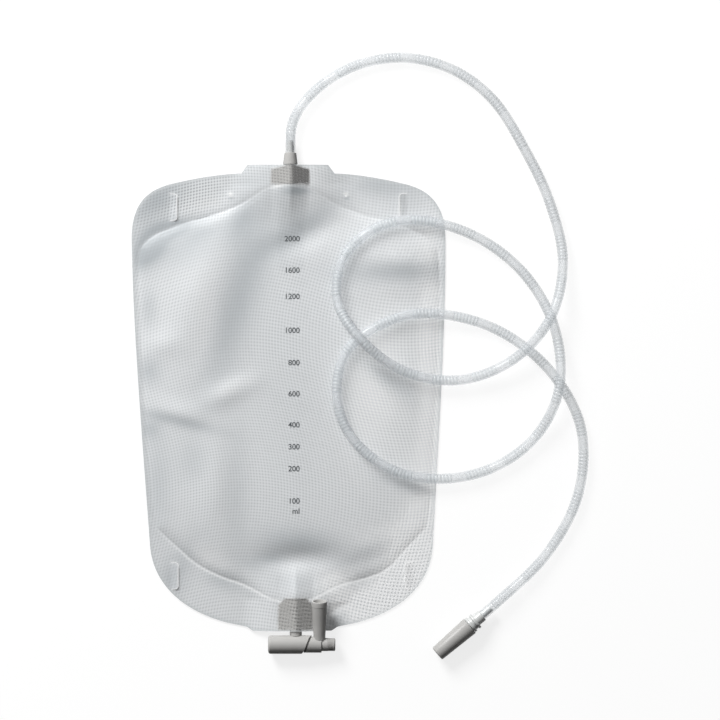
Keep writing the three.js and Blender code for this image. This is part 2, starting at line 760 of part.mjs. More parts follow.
// Connector: a barb in the tube, a boss, a collar with two flanges, and a cone in falling steps
function tubeConnector() {
  const collarEnd = -seat;
  const collarStart = collarEnd - collarLength;
  const bossStart = collarStart - bossLength;
  const barbStart = bossStart - barbLength;
  const tip = capLength - capEndWall - connectorTipGap;
  const profile = [
    [connectorBore, barbStart], [barbRadius - barbChamfer, barbStart],
    [barbRadius, barbStart + barbChamfer], [barbRadius, bossStart], [bossRadius, bossStart],
    [bossRadius, collarStart], [collarRadius, collarStart],
    [collarRadius, collarStart + collarFlange], [collarWaist, collarStart + collarFlange],
    [collarWaist, collarEnd - collarFlange], [collarRadius, collarEnd - collarFlange],
    [collarRadius, collarEnd],
  ];
  const stepLength = (tip - collarEnd) / connectorSteps;
  const outer = (along) => capInside(Math.max(along, 0)) - connectorConeClearance;
  for (let i = 0; i < connectorSteps; i++) {
    const from = collarEnd + i * stepLength;
    const shoulder = from + stepLength * connectorStepShare;
    const fall = connectorStepHeight * i;
    profile.push([outer(from) - fall - connectorStepHeight, from]);
    profile.push([outer(shoulder) - fall, shoulder]);
    profile.push([outer(from + stepLength) - fall - connectorStepHeight, from + stepLength]);
  }
  profile.push([connectorBore, tip], [connectorBore, barbStart]);
  return turned(profile, capRoot, capOut, fineRoundSides);
}

function connectorCap() {
  const inside = capLength - capEndWall;
  const profile = [
    [0, inside], [capInside(inside), inside], [capInside(0), 0], [capRootRadius, 0],
    [capTipRadius, capLength - capChamfer], [capTipRadius - capChamfer, capLength],
    [0, capLength],
  ];
  return turned(profile, capRoot, capOut);
}

// Materials
const clearFilm = new THREE.MeshStandardMaterial({ color: 0xd3d7d8, roughness: 0.42, metalness: 0 });
const thinFilm = new THREE.MeshStandardMaterial({ color: 0xe2e6e8, roughness: 0.35, metalness: 0 });
const greyPlastic = new THREE.MeshStandardMaterial({ color: 0xa9aaa6, roughness: 0.4, metalness: 0 });
const clearTube = new THREE.MeshStandardMaterial({ color: 0xdfe3e4, roughness: 0.3, metalness: 0 });
const whitePlastic = new THREE.MeshStandardMaterial({ color: 0xf0f1ef, roughness: 0.35, metalness: 0 });
const sealRubber = new THREE.MeshStandardMaterial({ color: 0x3a3b3d, roughness: 0.7, metalness: 0 });

const drainageBag = new THREE.Group();

function addPiece(name, body, material) {
  const mesh = new THREE.Mesh(geometryOf(body), material);
  mesh.name = name;
  drainageBag.add(mesh);
}

addPiece("front_film", film(frontUnderside, frontGridPitch), clearFilm);
addPiece("back_film", film((x, y) => backTop(x, y) - filmThickness, backGridPitch), clearFilm);
addPiece("inlet_port", inletPort(), greyPlastic);
addPiece("return_valve_back", valveLeaf(leafGap), thinFilm);
addPiece("return_valve_front", valveLeaf(2 * leafGap + leafThickness), thinFilm);
addPiece("outlet_port", outletPort(), greyPlastic);
addPiece("tap_barrel", tapBarrel(), greyPlastic);
addPiece("tap_spout", tapSpout(), greyPlastic);
addPiece("spout_end_plug", endPlug(), greyPlastic);
ringPlaces.forEach((x, i) => {
  addPiece(`seal_ring_${i + 1}`, sealRing(x), sealRubber);
});
addPiece("drainage_tube", drainageTube(), clearTube);
addPiece("tube_connector", tubeConnector(), whitePlastic);
addPiece("connector_cap", connectorCap(), greyPlastic);

export default drainageBag;
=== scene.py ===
# Urine drainage bag, dressed over its CAD frame. Lengths are in millimetres, turned to metres
# where a mesh is made; Z is up and the inlet end of the bag points along +Y.
import math

import bmesh
import bpy
import numpy as np
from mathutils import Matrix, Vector
from mathutils.geometry import delaunay_2d_cdt


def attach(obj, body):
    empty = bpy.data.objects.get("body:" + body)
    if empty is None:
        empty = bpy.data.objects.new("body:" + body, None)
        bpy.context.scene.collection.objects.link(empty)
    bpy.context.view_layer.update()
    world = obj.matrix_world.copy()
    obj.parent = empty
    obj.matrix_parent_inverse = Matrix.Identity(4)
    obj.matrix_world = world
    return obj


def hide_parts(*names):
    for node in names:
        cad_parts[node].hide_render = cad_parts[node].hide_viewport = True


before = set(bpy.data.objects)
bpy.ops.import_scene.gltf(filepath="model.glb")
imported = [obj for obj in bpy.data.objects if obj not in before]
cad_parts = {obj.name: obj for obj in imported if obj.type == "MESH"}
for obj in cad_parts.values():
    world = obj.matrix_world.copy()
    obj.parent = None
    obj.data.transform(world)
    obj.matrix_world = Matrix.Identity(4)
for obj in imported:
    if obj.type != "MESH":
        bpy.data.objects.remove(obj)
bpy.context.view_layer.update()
scene = bpy.context.scene
mm = 0.001
print("frame loaded")

# Camera: straight above the table, as the picture was taken
cameraView = {
    "aim": (49.6, 25.75),
    "height": 2400,
    "pictureWidth": 500.4,  # how much of the table the picture takes in
    "sensor": 36,
}


def addCamera(s):
    data = bpy.data.cameras.new("camera")
    data.sensor_width = s["sensor"]
    data.lens = s["sensor"] * s["height"] / s["pictureWidth"]
    camera = bpy.data.objects.new("camera", data)
    camera.location = (s["aim"][0] * mm, s["aim"][1] * mm, s["height"] * mm)
    scene.collection.objects.link(camera)
    scene.camera = camera


addCamera(cameraView)


def linear(code):
    parts = [int(code[i:i + 2], 16) / 255 for i in (1, 3, 5)]
    return [c / 12.92 if c <= 0.04045 else ((c + 0.055) / 1.055) ** 2.4 for c in parts] + [1]


def addNode(tree, kind, settings=None, links=None):
    # A link comes from a socket, or from a node, which means that node's first output
    node = tree.nodes.new("ShaderNode" + kind)
    for key, value in (settings or {}).items():
        if isinstance(key, str) and key in node.bl_rna.properties:
            setattr(node, key, value)
        else:
            node.inputs[key].default_value = value
    for key, source in (links or {}).items():
        socket = source.outputs[0] if isinstance(source, bpy.types.Node) else source
        tree.links.new(socket, node.inputs[key])
    return node


def newMaterial(name):
    material = bpy.data.materials.new(name)
    material.use_nodes = True
    material.node_tree.nodes.clear()
    return material, material.node_tree


def endMaterial(material, shader):
    addNode(material.node_tree, "OutputMaterial", links={"Surface": shader})
    return material


def mottledFinish(name, tones, patch, surface, place="Object", detail=3.0, relief=None):
    # Two close tones that drift into each other over the surface, in patches of some millimetres
    material, tree = newMaterial(name)
    where = addNode(tree, "TexCoord")
    drift = addNode(tree, "TexNoise", {"Scale": 1 / (patch * mm), "Detail": detail},
                    {"Vector": where.outputs[place]})
    colour = addNode(tree, "Mix", {"data_type": "RGBA", 6: linear(tones[0]), 7: linear(tones[1])},
                     {0: drift})
    links = {"Base Color": colour.outputs[2]}
    if relief:
        links["Normal"] = addNode(tree, "Bump", relief, {"Height": drift})
    return endMaterial(material, addNode(tree, "BsdfPrincipled", surface, links))


def addPiece(name, mesh, body, nodes=()):
    piece = bpy.data.objects.new(name, mesh)
    scene.collection.objects.link(piece)
    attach(piece, body)
    if nodes:
        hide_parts(*nodes)
    return piece


def meshFrom(name, points, faces):
    mesh = bpy.data.meshes.new(name)
    mesh.from_pydata([Vector(p) * mm for p in points], [], faces)
    return mesh


def finished(mesh, material, sharpAngle=38):
    mesh.materials.clear()
    mesh.materials.append(material)
    mesh.shade_smooth()
    mesh.set_sharp_from_angle(angle=math.radians(sharpAngle))
    return mesh


def addField(mesh, name, values):
    field = mesh.attributes.new(name, "FLOAT", "POINT")
    field.data.foreach_set("value", np.array(values, np.float32))


# Drainage tube: kink-resistant, with corrugated stretches between smooth ones
tube = {
    "route": [
        (1.3, 169.8, 5.4), (1.3, 178.6, 5.4), (2.8, 190, 5.3), (9.4, 202.6, 4.8),
        (26.2, 219, 4), (52, 231.8, 3.8), (83, 235.4, 3.7), (115, 226.7, 3.7),
        (141.5, 206.8, 3.7), (163.9, 172, 3.8), (181.4, 134.5, 4.2), (190.2, 94.2, 6),
        (181.1, 54.5, 13.7), (154.9, 25.5, 10.3), (118.1, 11.8, 6.8), (79.2, 18.4, 10.2),
        (48.1, 42.3, 18.6), (33.7, 68.2, 12.7), (39, 97.8, 9.7), (60.8, 117.3, 7.2),
        (90.3, 122.7, 5.5), (130.8, 110.9, 4.3), (164.1, 84.8, 4.3), (184.6, 47.6, 5.9),
        (187.3, 5.8, 11.7), (171.7, -27, 5.8), (142.5, -48.7, 4.8), (106.9, -56.6, 5.9),
        (71.3, -50, 9.2), (43.3, -27.1, 10.7), (33.5, 2.1, 11.2), (40.6, 32.1, 10.8),
        (64.8, 50.7, 9.9), (95, 58.1, 7.5), (140.8, 48.5, 4.4), (179.1, 20.9, 3.8),
        (202.5, -19.8, 3.7), (201.1, -66.9, 3.8), (179.1, -108.8, 4.1),
        (145.1, -141.8, 6.45), (134.5, -150.95, 6.45),
    ],
    "ribRadius": 3.68,
    "valleyRadius": 3.3,
    "smoothRadius": 3.48,
    "innerRadius": 2.6,
    "period": 28,  # one ribbed and one smooth stretch
    "ribbedLength": 17,
    "ribs": 7,  # in a stretch
    "firstRib": 12,  # the first stretch is smooth, where it grips the spigot
    "ringsPerRib": 6,
    "smoothRings": 5,
    "boreRings": 420,
    "sides": 16,
    "cloudSize": 6.25,  # drift in how milky the wall is
    "colour": "#e7eaec",
    "wallColour": "#dfe2e5",
    # Painted shade: the valleys between the ribs are coloured darker
    "valleyShadeColour": "#cbd0d3",
    "lightThrough": 0.5,
    "wallOpacity": (0.28, 0.39),  # of one wall seen square on, and seen along its edge
    "crestOpacity": 0.07,  # more than the wall, because the moulded ribs scatter light
    "valleyOpacity": 0.08,
    "shade": 0.42,  # share of its opacity that counts for its shadow
    "roughness": 0.2,
}


def alongRoute(points, perSpan=48):
    # Centripetal Catmull-Rom curve, with its two ends carried straight on
    p = [Vector(v) for v in points]
    p = [2 * p[0] - p[1], *p, 2 * p[-1] - p[-2]]
    line = []
    for a, b, c, d in zip(p, p[1:], p[2:], p[3:]):
        ab, bc, cd = (b - a).length ** 0.5, (c - b).length ** 0.5, (d - c).length ** 0.5
        leave = ((b - a) / ab - (c - a) / (ab + bc) + (c - b) / bc) * bc
        arrive = ((c - b) / bc - (d - b) / (bc + cd) + (d - c) / cd) * bc
        for i in range(perSpan):
            t = i / perSpan
            line.append(b + leave * t + (3 * (c - b) - 2 * leave - arrive) * t ** 2
                        + (2 * (b - c) + leave + arrive) * t ** 3)
    line.append(p[-2])
    line = np.array(line)
    steps = np.linalg.norm(np.diff(line, axis=0), axis=1)
    return line, np.concatenate([[0], np.cumsum(steps)])


def tubeStations(s, length):
    # Distances along the tube at which a ring is made, and each ring's radius
    at, radius = [0.0], [s["smoothRadius"]]
    pitch = s["ribbedLength"] / s["ribs"]
    start = s["firstRib"]
    while start < length:
        for i in range(s["ribs"] * s["ringsPerRib"] + 1):
            share = 0.5 - 0.5 * math.cos(2 * math.pi * i / s["ringsPerRib"])
            at.append(start + i * pitch / s["ringsPerRib"])
            radius.append(s["valleyRadius"] + (s["ribRadius"] - s["valleyRadius"]) * share)
        smoothLength = s["period"] - s["ribbedLength"]
        for i in range(s["smoothRings"]):
            share = 0.06 + 0.88 * i / (s["smoothRings"] - 1)
            at.append(start + s["ribbedLength"] + smoothLength * share)
            radius.append(s["smoothRadius"])
        start += s["period"]
    kept = [(a, r) for a, r in zip(at, radius) if a < length - 0.4]
    return kept + [(length, s["smoothRadius"])]


def sweepRing(line, lengths, at, radius, sides, aimReach=0.6):
    place, ahead, behind = [
        Vector([np.interp(at + shift, lengths, line[:, k]) for k in range(3)])
        for shift in (0, aimReach, -aimReach)]
    way = (ahead - behind).normalized()
    across = Vector((0, 0, 1)).cross(way).normalized()
    up = way.cross(across)
    turns = [2 * math.pi * i / sides for i in range(sides)]
    return [place + (across * math.cos(a) + up * math.sin(a)) * radius for a in turns]


def tubeMesh(s, line, lengths, material):
    # Out along the wall and back through the bore, so that both ends are closed rings
    bore = [(at, s["innerRadius"]) for at in np.linspace(lengths[-1], 0, s["boreRings"])]
    rings = tubeStations(s, lengths[-1]) + bore
    sides, span = s["sides"], s["ribRadius"] - s["valleyRadius"]
    points, faces, valley, crest = [], [], [], []
    for at, radius in rings:
        points += sweepRing(line, lengths, at, radius, sides)
        ribbed = radius not in (s["innerRadius"], s["smoothRadius"])
        share = (radius - s["valleyRadius"]) / span
        crest += [share if ribbed else 0] * sides
        valley += [1 - share if ribbed else 0] * sides
    for i in range(len(rings)):
        a, b = i * sides, (i + 1) % len(rings) * sides
        for k in range(sides):
            n = (k + 1) % sides
            faces.append((a + k, a + n, b + n, b + k))
    mesh = finished(meshFrom("drainage_tube_skin", points, faces), material, 60)
    addField(mesh, "valley", valley)
    addField(mesh, "crest", crest)
    return mesh


def clearPvcTube(s):
    # Plasticised PVC, extruded and then moulded into ribs: clear, glossy, denser at its edges
    material, tree = newMaterial("clear_pvc_tube")
    facing = addNode(tree, "LayerWeight", {"Blend": 0.4})
    square, along = s["wallOpacity"]
    density = addNode(tree, "MapRange", {"From Min": 0.05, "From Max": 0.95, "To Min": square,
                                         "To Max": along}, {"Value": facing.outputs["Facing"]})
    place = addNode(tree, "TexCoord")
    cloud = addNode(tree, "TexNoise", {"Scale": 1 / (s["cloudSize"] * mm), "Detail": 2.0},
                    {"Vector": place.outputs["Object"]})
    edge = addNode(tree, "Math", {"operation": "MULTIPLY_ADD", 1: 0.1},
                   {0: cloud, 2: facing.outputs["Facing"]})
    wall = addNode(tree, "Mix", {"data_type": "RGBA", 6: linear(s["colour"]),
                                 7: linear(s["wallColour"])}, {0: edge})
    opacity, fields = density, {}
    for name in ("valley", "crest"):
        fields[name] = addNode(tree, "Attribute", {"attribute_name": name}).outputs["Fac"]
        opacity = addNode(tree, "Math", {"operation": "MULTIPLY_ADD", 1: s[name + "Opacity"]},
                          {0: fields[name], 2: opacity})
    path = addNode(tree, "LightPath")
    shade = addNode(tree, "MapRange", {"To Min": 1, "To Max": s["shade"]},
                    {"Value": path.outputs["Is Shadow Ray"]})
    opacity = addNode(tree, "Math", {"operation": "MULTIPLY"}, {0: opacity, 1: shade})
    # Painted shade: darker colour in the rib valleys
    colour = addNode(tree, "Mix", {"data_type": "RGBA", 7: linear(s["valleyShadeColour"])},
                     {0: fields["valley"], 6: wall.outputs[2]}).outputs[2]
    front = addNode(tree, "BsdfPrincipled", {"Roughness": s["roughness"], "IOR": 1.53,
                                             "Specular IOR Level": 0.8}, {"Base Color": colour})
    through = addNode(tree, "BsdfTranslucent", links={"Color": colour})
    solid = addNode(tree, "MixShader", {0: s["lightThrough"]},
                    {1: front, 2: through})
    gap = addNode(tree, "BsdfTransparent")
    return endMaterial(material, addNode(tree, "MixShader", links={
        0: opacity, 1: gap, 2: solid}))


tubeLine, tubeLengths = alongRoute(tube["route"])
tubeFinish = clearPvcTube(tube)
tubePiece = addPiece("drainage_tube_skin", tubeMesh(tube, tubeLine, tubeLengths, tubeFinish),
                     "bag", ["drainage_tube"])
print("drainage tube made", round(tubeLengths[-1], 1), "mm")

# Turned parts: a profile of (radius, distance) pairs swept round a line


def softened(profile, reach, steps=4):
    # Rounds each corner of a profile with a short curve, as a moulded edge has
    corners = [Vector(p) for p in profile]
    result = [corners[0]]
    for before, corner, after in zip(corners, corners[1:], corners[2:]):
        back, on = before - corner, after - corner
        take = min(reach, back.length * 0.45, on.length * 0.45)
        start, end = corner + back.normalized() * take, corner + on.normalized() * take
        for i in range(steps + 1):
            t = i / steps
            result.append(start * (1 - t) ** 2 + corner * 2 * t * (1 - t) + end * t ** 2)
    result.append(corners[-1])
    return [tuple(p) for p in result]


def roundedEnd(radius, end, reach, steps=8):
    # Quarter circle from a round wall to its flat end
    turns = [math.pi / 2 * i / steps for i in range(steps + 1)]
    return [(radius - reach * (1 - math.cos(t)), end - reach * (1 - math.sin(t))) for t in turns]


def turned(profile, origin, axis, sides=72, edge=None):
    # edge(angle, radius, distance) shifts a point along the line, for an end that isn't square
    axis = Vector(axis).normalized()
    first = Vector((0, 1, 0)) if abs(axis.x) > 0.9 else Vector((0, 0, 1)).cross(axis).normalized()
    second = axis.cross(first)
    points, faces = [], []
    for i in range(sides):
        angle = 2 * math.pi * i / sides
        out = first * math.cos(angle) + second * math.sin(angle)
        for radius, along in profile:
            shift = edge(angle, radius, along) if edge else along
            points.append(Vector(origin) + out * radius + axis * shift)
    count = len(profile)
    for i in range(sides):
        a, b = i * count, (i + 1) % sides * count
        for k in range(count - 1):
            faces.append((a + k, b + k, b + k + 1, a + k + 1))
        if profile[0][0] > 0:
            faces.append((a + count - 1, b + count - 1, b, a))
    return solidMesh(points, faces)


def solidMesh(points, faces):
    mesh = meshFrom("solid", points, faces)
    work = bmesh.new()
    work.from_mesh(mesh)
    bmesh.ops.remove_doubles(work, verts=work.verts, dist=1e-7)
    bmesh.ops.dissolve_degenerate(work, edges=work.edges, dist=1e-7)
    bmesh.ops.recalc_face_normals(work, faces=work.faces)
    work.to_mesh(mesh)
    work.free()
    return mesh


def bar(radius, origin, axis, length, sides=48):
    return turned([(0, 0), (radius, 0), (radius, length), (0, length)], origin, axis, sides)


def combined(name, base, joins, cuts, material, sharpAngle=38):
    # Joins and cuts solids, and keeps the result as one closed mesh
    start = bpy.data.objects.new("start", base)
    scene.collection.objects.link(start)
    tools = []
    for mesh, operation in [(m, "UNION") for m in joins] + [(m, "DIFFERENCE") for m in cuts]:
        tool = bpy.data.objects.new("tool", mesh)
        scene.collection.objects.link(tool)
        step = start.modifiers.new("step", "BOOLEAN")
        step.operation = operation
        step.solver = "EXACT"
        step.object = tool
        tools.append(tool)
    shaped = start.evaluated_get(bpy.context.evaluated_depsgraph_get())
    mesh = bpy.data.meshes.new_from_object(shaped)
    mesh.name = name
    for extra in [start, *tools]:
        bpy.data.objects.remove(extra)
    return finished(mesh, material, sharpAngle)


# Grey polypropylene of the ports, tap and cap: moulded, a neutral grey with a low, even sheen
greyParts = {
    "colour": "#b2b1af",
    "deepColour": "#a4a3a1",
    "flowMarks": 11.1,  # faint clouds that the melt leaves
    "grain": 1.4,  # four times the mould's real spark-eroded texture, which is too fine to show
    "ports": {"roughness": 0.45, "gloss": 0.08},
    "cap": {"roughness": 0.3, "gloss": 0.16},
}


def mouldedGreyPolypropylene(s, name, roughness, gloss):
    material, tree = newMaterial(name)
    place = addNode(tree, "TexCoord")
    flow = addNode(tree, "TexNoise", {"Scale": 1 / (s["flowMarks"] * mm), "Detail": 4.0,
                                      "Distortion": 0.6}, {"Vector": place.outputs["Object"]})
    colour = addNode(tree, "Mix", {"data_type": "RGBA", 6: linear(s["colour"]),
                                   7: linear(s["deepColour"])}, {0: flow})
    grain = addNode(tree, "TexNoise", {"Scale": 1 / (s["grain"] * mm), "Detail": 2.0},
                    {"Vector": place.outputs["Object"]})
    relief = addNode(tree, "Bump", {"Strength": 0.12, "Distance": 0.00004}, {"Height": grain})
    rough = addNode(tree, "MapRange", {"To Min": roughness - 0.05, "To Max": roughness + 0.07},
                    {"Value": grain})
    shader = addNode(tree, "BsdfPrincipled", {"IOR": 1.49, "Specular IOR Level": gloss},
                     {"Base Color": colour.outputs[2], "Roughness": rough,
                      "Normal": relief})
    return endMaterial(material, shader)


greyFinish = mouldedGreyPolypropylene(greyParts, "moulded_grey_polypropylene",
                                      **greyParts["ports"])
capFinish = mouldedGreyPolypropylene(greyParts, "polished_grey_polypropylene",
                                     **greyParts["cap"])

# Drain tap: a cross barrel with a turning spout, on the tap's own axis along X
tap = {
    "axisY": -171.5,
    "axisZ": 6.4,
    "radius": 6.4,
    "bore": 4.6,
    "leftX": -14,
    "endWall": 1.9,
    "endRound": 1.7,
    "seamTopX": 16,
    "seamFall": 7.4,
    "seamGap": 0.85,
    "seamWidens": 1.1,
    "portX": 5.1,
    "portZ": 5.4,
    "nippleRadius": 2.85,
    "nippleBore": 1.95,
    "nippleLength": 12.6,
    "rotorRadius": 4.35,
    "rotorLeftX": -11.7,
    "rotorBore": 2.2,
    "ringOffset": 4.4,
    "ringGroove": 0.65,
    "ringFloor": 3.2,
    "sleeveRadius": 5.6,
    "sleeveEndX": 23,
    "hubRadius": 4.5,
    "hubEndX": 27,
    "spoutX": 21.5,
    "spoutRoot": 4.15,
    "spoutMouth": 5.2,
    "spoutLength": 31.2,
    "spoutWall": 1.3,
    "lip": 0.14,
    "lipLength": 3.6,
    "tilt": 12,
    "openAngle": 168,
    "plugLength": 5.2,
    "plugStem": 2,
    "plugRibs": 9,
    "plugRibDepth": 0.22,
    "plugRound": 1.1,
}


def onTapAxis(s, x):
    return x, s["axisY"], s["axisZ"]


def barrelMesh(s, material):
    root = s["seamTopX"] - s["seamFall"]
    left = s["leftX"]
    inside = left + s["endWall"]

    def ramp(angle, radius, along):
        # The open end follows the slanted seam, and the barrel's own length carries the ramp
        rim = s["seamTopX"] - s["seamFall"] * min(angle / math.pi, 1)
        return along if along < root - 0.05 else along - root + rim

    outer = s["radius"]
    closedEnd = [(r, 2 * left - at) for r, at in roundedEnd(outer, left, s["endRound"])[::-1]]
    profile = [(0, left), *closedEnd, (outer, root - 1), (outer, root), (s["bore"], root),
               (s["bore"], root - 1), (s["bore"], inside), (0, inside)]
    shell = turned(profile, (0, s["axisY"], s["axisZ"]), (1, 0, 0), 96, ramp)
    foot = (s["portX"], s["axisY"], s["portZ"])
    nipple = bar(s["nippleRadius"], foot, (0, 1, 0), s["nippleLength"])
    flow = bar(s["nippleBore"], foot, (0, 1, 0), s["nippleLength"] + 1)
    clear = bar(s["bore"], onTapAxis(s, inside), (1, 0, 0), root - inside - 1.5)
    return combined("tap_barrel_shell", shell, [nipple], [clear, flow], material)


def spoutMesh(s, material):
    groove, floor, radius = s["ringGroove"], s["ringFloor"], s["rotorRadius"]
    core = [(0, s["rotorLeftX"]), (radius, s["rotorLeftX"])]
    for x in (s["portX"] - s["ringOffset"], s["portX"] + s["ringOffset"]):
        core += [(radius, x - groove), (floor, x - groove), (floor, x + groove),
                 (radius, x + groove)]
    core += [(radius, s["sleeveEndX"] - 0.5), (0, s["sleeveEndX"] - 0.5)]
    axisFoot = (0, s["axisY"], s["axisZ"])
    rotor = turned(core, axisFoot, (1, 0, 0))

    def sleeveEdge(angle, radiusHere, along):
        if along > s["seamTopX"] + 2:
            return along
        front = angle <= math.pi + 1e-6
        fall = (s["seamFall"] - s["seamWidens"]) * angle / math.pi if front else 0
        return along - fall

    edge = s["seamTopX"] + s["seamGap"]
    end = s["sleeveEndX"]
    sleeve = turned([(s["rotorBore"], edge), (s["sleeveRadius"], edge),
                     (s["sleeveRadius"], end - 0.3), (s["sleeveRadius"] - 0.3, end),
                     (s["rotorBore"], end)], axisFoot, (1, 0, 0), 96, sleeveEdge)
    hub = bar(s["hubRadius"], onTapAxis(s, s["seamTopX"]), (1, 0, 0),
              s["hubEndX"] - s["seamTopX"], 72)
    tilt = math.radians(s["tilt"])
    away = (0, math.cos(tilt), math.sin(tilt))
    lipAt = s["spoutLength"] - s["lipLength"]
    mouth, lipRadius = s["spoutMouth"], s["spoutMouth"] + s["lip"]
    outline = [(0, 0), (s["spoutRoot"], 0), (s["spoutRoot"], s["radius"]), (mouth, lipAt - 0.35),
               (lipRadius, lipAt), (lipRadius, s["spoutLength"]), (0, s["spoutLength"])]
    spout = turned(softened(outline, 0.45), onTapAxis(s, s["spoutX"]), away, 72)
    wall, past = s["spoutWall"], s["spoutLength"] + 1
    flow = turned([(0, 0), (s["spoutRoot"] - wall, 0), (s["spoutRoot"] - wall, s["radius"]),
                   (mouth - wall, s["spoutLength"] - 0.4), (mouth - wall + 1, past), (0, past)],
                  onTapAxis(s, s["spoutX"]), away, 48)
    boreFrom = s["portX"] - s["rotorBore"]
    axial = bar(s["rotorBore"], onTapAxis(s, boreFrom), (1, 0, 0), s["hubEndX"] + 1 - boreFrom)
    opening = math.radians(-s["openAngle"])
    port = bar(s["rotorBore"], onTapAxis(s, s["portX"]),
               (0, math.cos(opening), math.sin(opening)), s["radius"])
    return combined("tap_spout_body", rotor, [sleeve, hub, spout], [flow, axial, port], material)


def endPlugMesh(s, material):
    radius, depth = s["hubRadius"], s["plugRibDepth"]
    first, last = 0.03, 0.3 + s["plugLength"]
    profile = [(0, -4), (s["plugStem"] - 0.3, -4), (s["plugStem"], -3.6), (s["plugStem"], first),
               (radius - 0.2, first), (radius, first + 0.2)]
    pitch = (last - 1.5 - first) / s["plugRibs"]
    for i in range(s["plugRibs"]):
        base = first + 0.3 + i * pitch
        profile += [(radius, base), (radius - depth, base + pitch * 0.3),
                    (radius - depth, base + pitch * 0.5), (radius, base + pitch * 0.8)]
    profile += roundedEnd(radius, last, s["plugRound"], 6) + [(0, last)]
    return finished(turned(profile, onTapAxis(s, s["hubEndX"]), (1, 0, 0)), material)


addPiece("tap_barrel_shell", barrelMesh(tap, greyFinish), "bag", ["tap_barrel"])
addPiece("tap_spout_body", spoutMesh(tap, greyFinish), "spout", ["tap_spout"])
addPiece("spout_plug_head", endPlugMesh(tap, greyFinish), "spout",
         ["spout_end_plug"])
print("drain tap made")

# Weld-in ports: rhombic boats that the films are sealed to
ports = {
    "axisZ": 5.4,
    "halfThickness": 4.7,
    "tip": 0.4,
    "inletX": 1.3,
    "inletHalfWidth": 12.9,
    "inletBottom": 148.1,
    "inletTop": 160.9,
    "shoulderDrop": 3.2,
    "heelRise": 0.9,
    "spigot": [(0, -1), (4.1, -1), (4.1, 0.4), (5, 0.4), (5, 1), (4.12, 8.3), (3.9, 8.6),
               (2.3, 8.6), (2.3, 12), (1.85, 17), (0, 17)],  # radius, distance from the port
    "spigotBore": 1.3,
    "round": 0.3,
    "outletX": 5.1,
    "outletHalfWidth": 11.8,
    "outletBottom": -160.9,
    "outletTop": -139.9,
    "chamfer": 4.4,
    "ribPitch": 2.6,
    "ribDepth": 0.5,
    "neckRadius": 4.2,
    "neckBore": 3.2,
    "saddleGap": 0.3,  # between the port's foot and the barrel
}


def gridSolid(columns, rows, place):
    # place(column share, row share) gives x, y, lower z and upper z
    wide, tall = len(columns), len(rows)
    points, faces = [], []
    for row in rows:
        for column in columns:
            x, y, low, high = place(column, row)
            points += [(x, y, low), (x, y, high)]
    for j in range(tall - 1):
        for i in range(wide - 1):
            a = 2 * (j * wide + i)
            b, c, d = a + 2, a + 2 * wide + 2, a + 2 * wide
            faces += [(a + 1, b + 1, c + 1, d + 1), (a, d, c, b)]
    rim = [2 * i for i in range(wide)] + [2 * (j * wide - 1) for j in range(2, tall + 1)]
    rim += [2 * ((tall - 1) * wide + i) for i in range(wide - 2, -1, -1)]
    rim += [2 * j * wide for j in range(tall - 2, 0, -1)]
    faces += [(a, b, b + 1, a + 1) for a, b in zip(rim, rim[1:] + rim[:1])]
    return solidMesh(points, faces)


def inletPortMesh(s, material):
    def place(column, row):
        away = abs(column)
        low = s["inletBottom"] + s["heelRise"] * away
        high = s["inletTop"] - s["shoulderDrop"] * away
        half = s["halfThickness"] - (s["halfThickness"] - s["tip"]) * away
        x = s["inletX"] + s["inletHalfWidth"] * column
        return x, low + (high - low) * row, s["axisZ"] - half, s["axisZ"] + half

    boat = gridSolid(np.linspace(-1, 1, 25), np.linspace(0, 1, 9), place)
    foot = (s["inletX"], s["inletTop"], s["axisZ"])
    spigot = turned(softened(s["spigot"], s["round"], 3), foot, (0, 1, 0), 48)
    bore = bar(s["spigotBore"], (s["inletX"], s["inletBottom"] - 1, s["axisZ"]), (0, 1, 0), 36, 32)
    return combined("inlet_port_boat", boat, [spigot], [bore], material, 30)


def outletPortMesh(s, tapSettings, material):
    low, high = s["outletBottom"], s["outletTop"]
    full, thick = s["outletHalfWidth"], s["halfThickness"]
    rows = np.arange(low, high, s["ribPitch"] / 8).tolist() + [high]

    def place(column, y):
        share = (y - low) / s["ribPitch"] % 1
        dip = 0.5 - 0.5 * math.cos(2 * math.pi * (share - 0.25))
        dip = s["ribDepth"] * dip * dip * (3 - 2 * dip)
        half = full - dip
        width = min(half, full - max(y - high + s["chamfer"], 0))
        x = width * column
        lift = (thick - dip) - (thick - dip - s["tip"]) * abs(x) / half
        return s["outletX"] + x, y, s["axisZ"] - lift, s["axisZ"] + lift

    boat = gridSolid(np.linspace(-1, 1, 31), rows, place)
    foot = (s["outletX"], tapSettings["axisY"], s["axisZ"])
    neck = bar(s["neckRadius"], foot, (0, 1, 0), low + 1 - tapSettings["axisY"], 64)
    saddle = bar(tapSettings["radius"] + s["saddleGap"], onTapAxis(tapSettings, -8),
                 (1, 0, 0), 26, 96)
    bore = bar(s["neckBore"], foot, (0, 1, 0), high + 1 - tapSettings["axisY"], 48)
    return combined("outlet_port_boat", boat, [neck], [saddle, bore], material, 30)


addPiece("inlet_port_boat", inletPortMesh(ports, greyFinish), "bag",
         ["inlet_port"])
addPiece("outlet_port_boat", outletPortMesh(ports, tap, greyFinish), "bag",
         ["outlet_port"])
print("ports made")

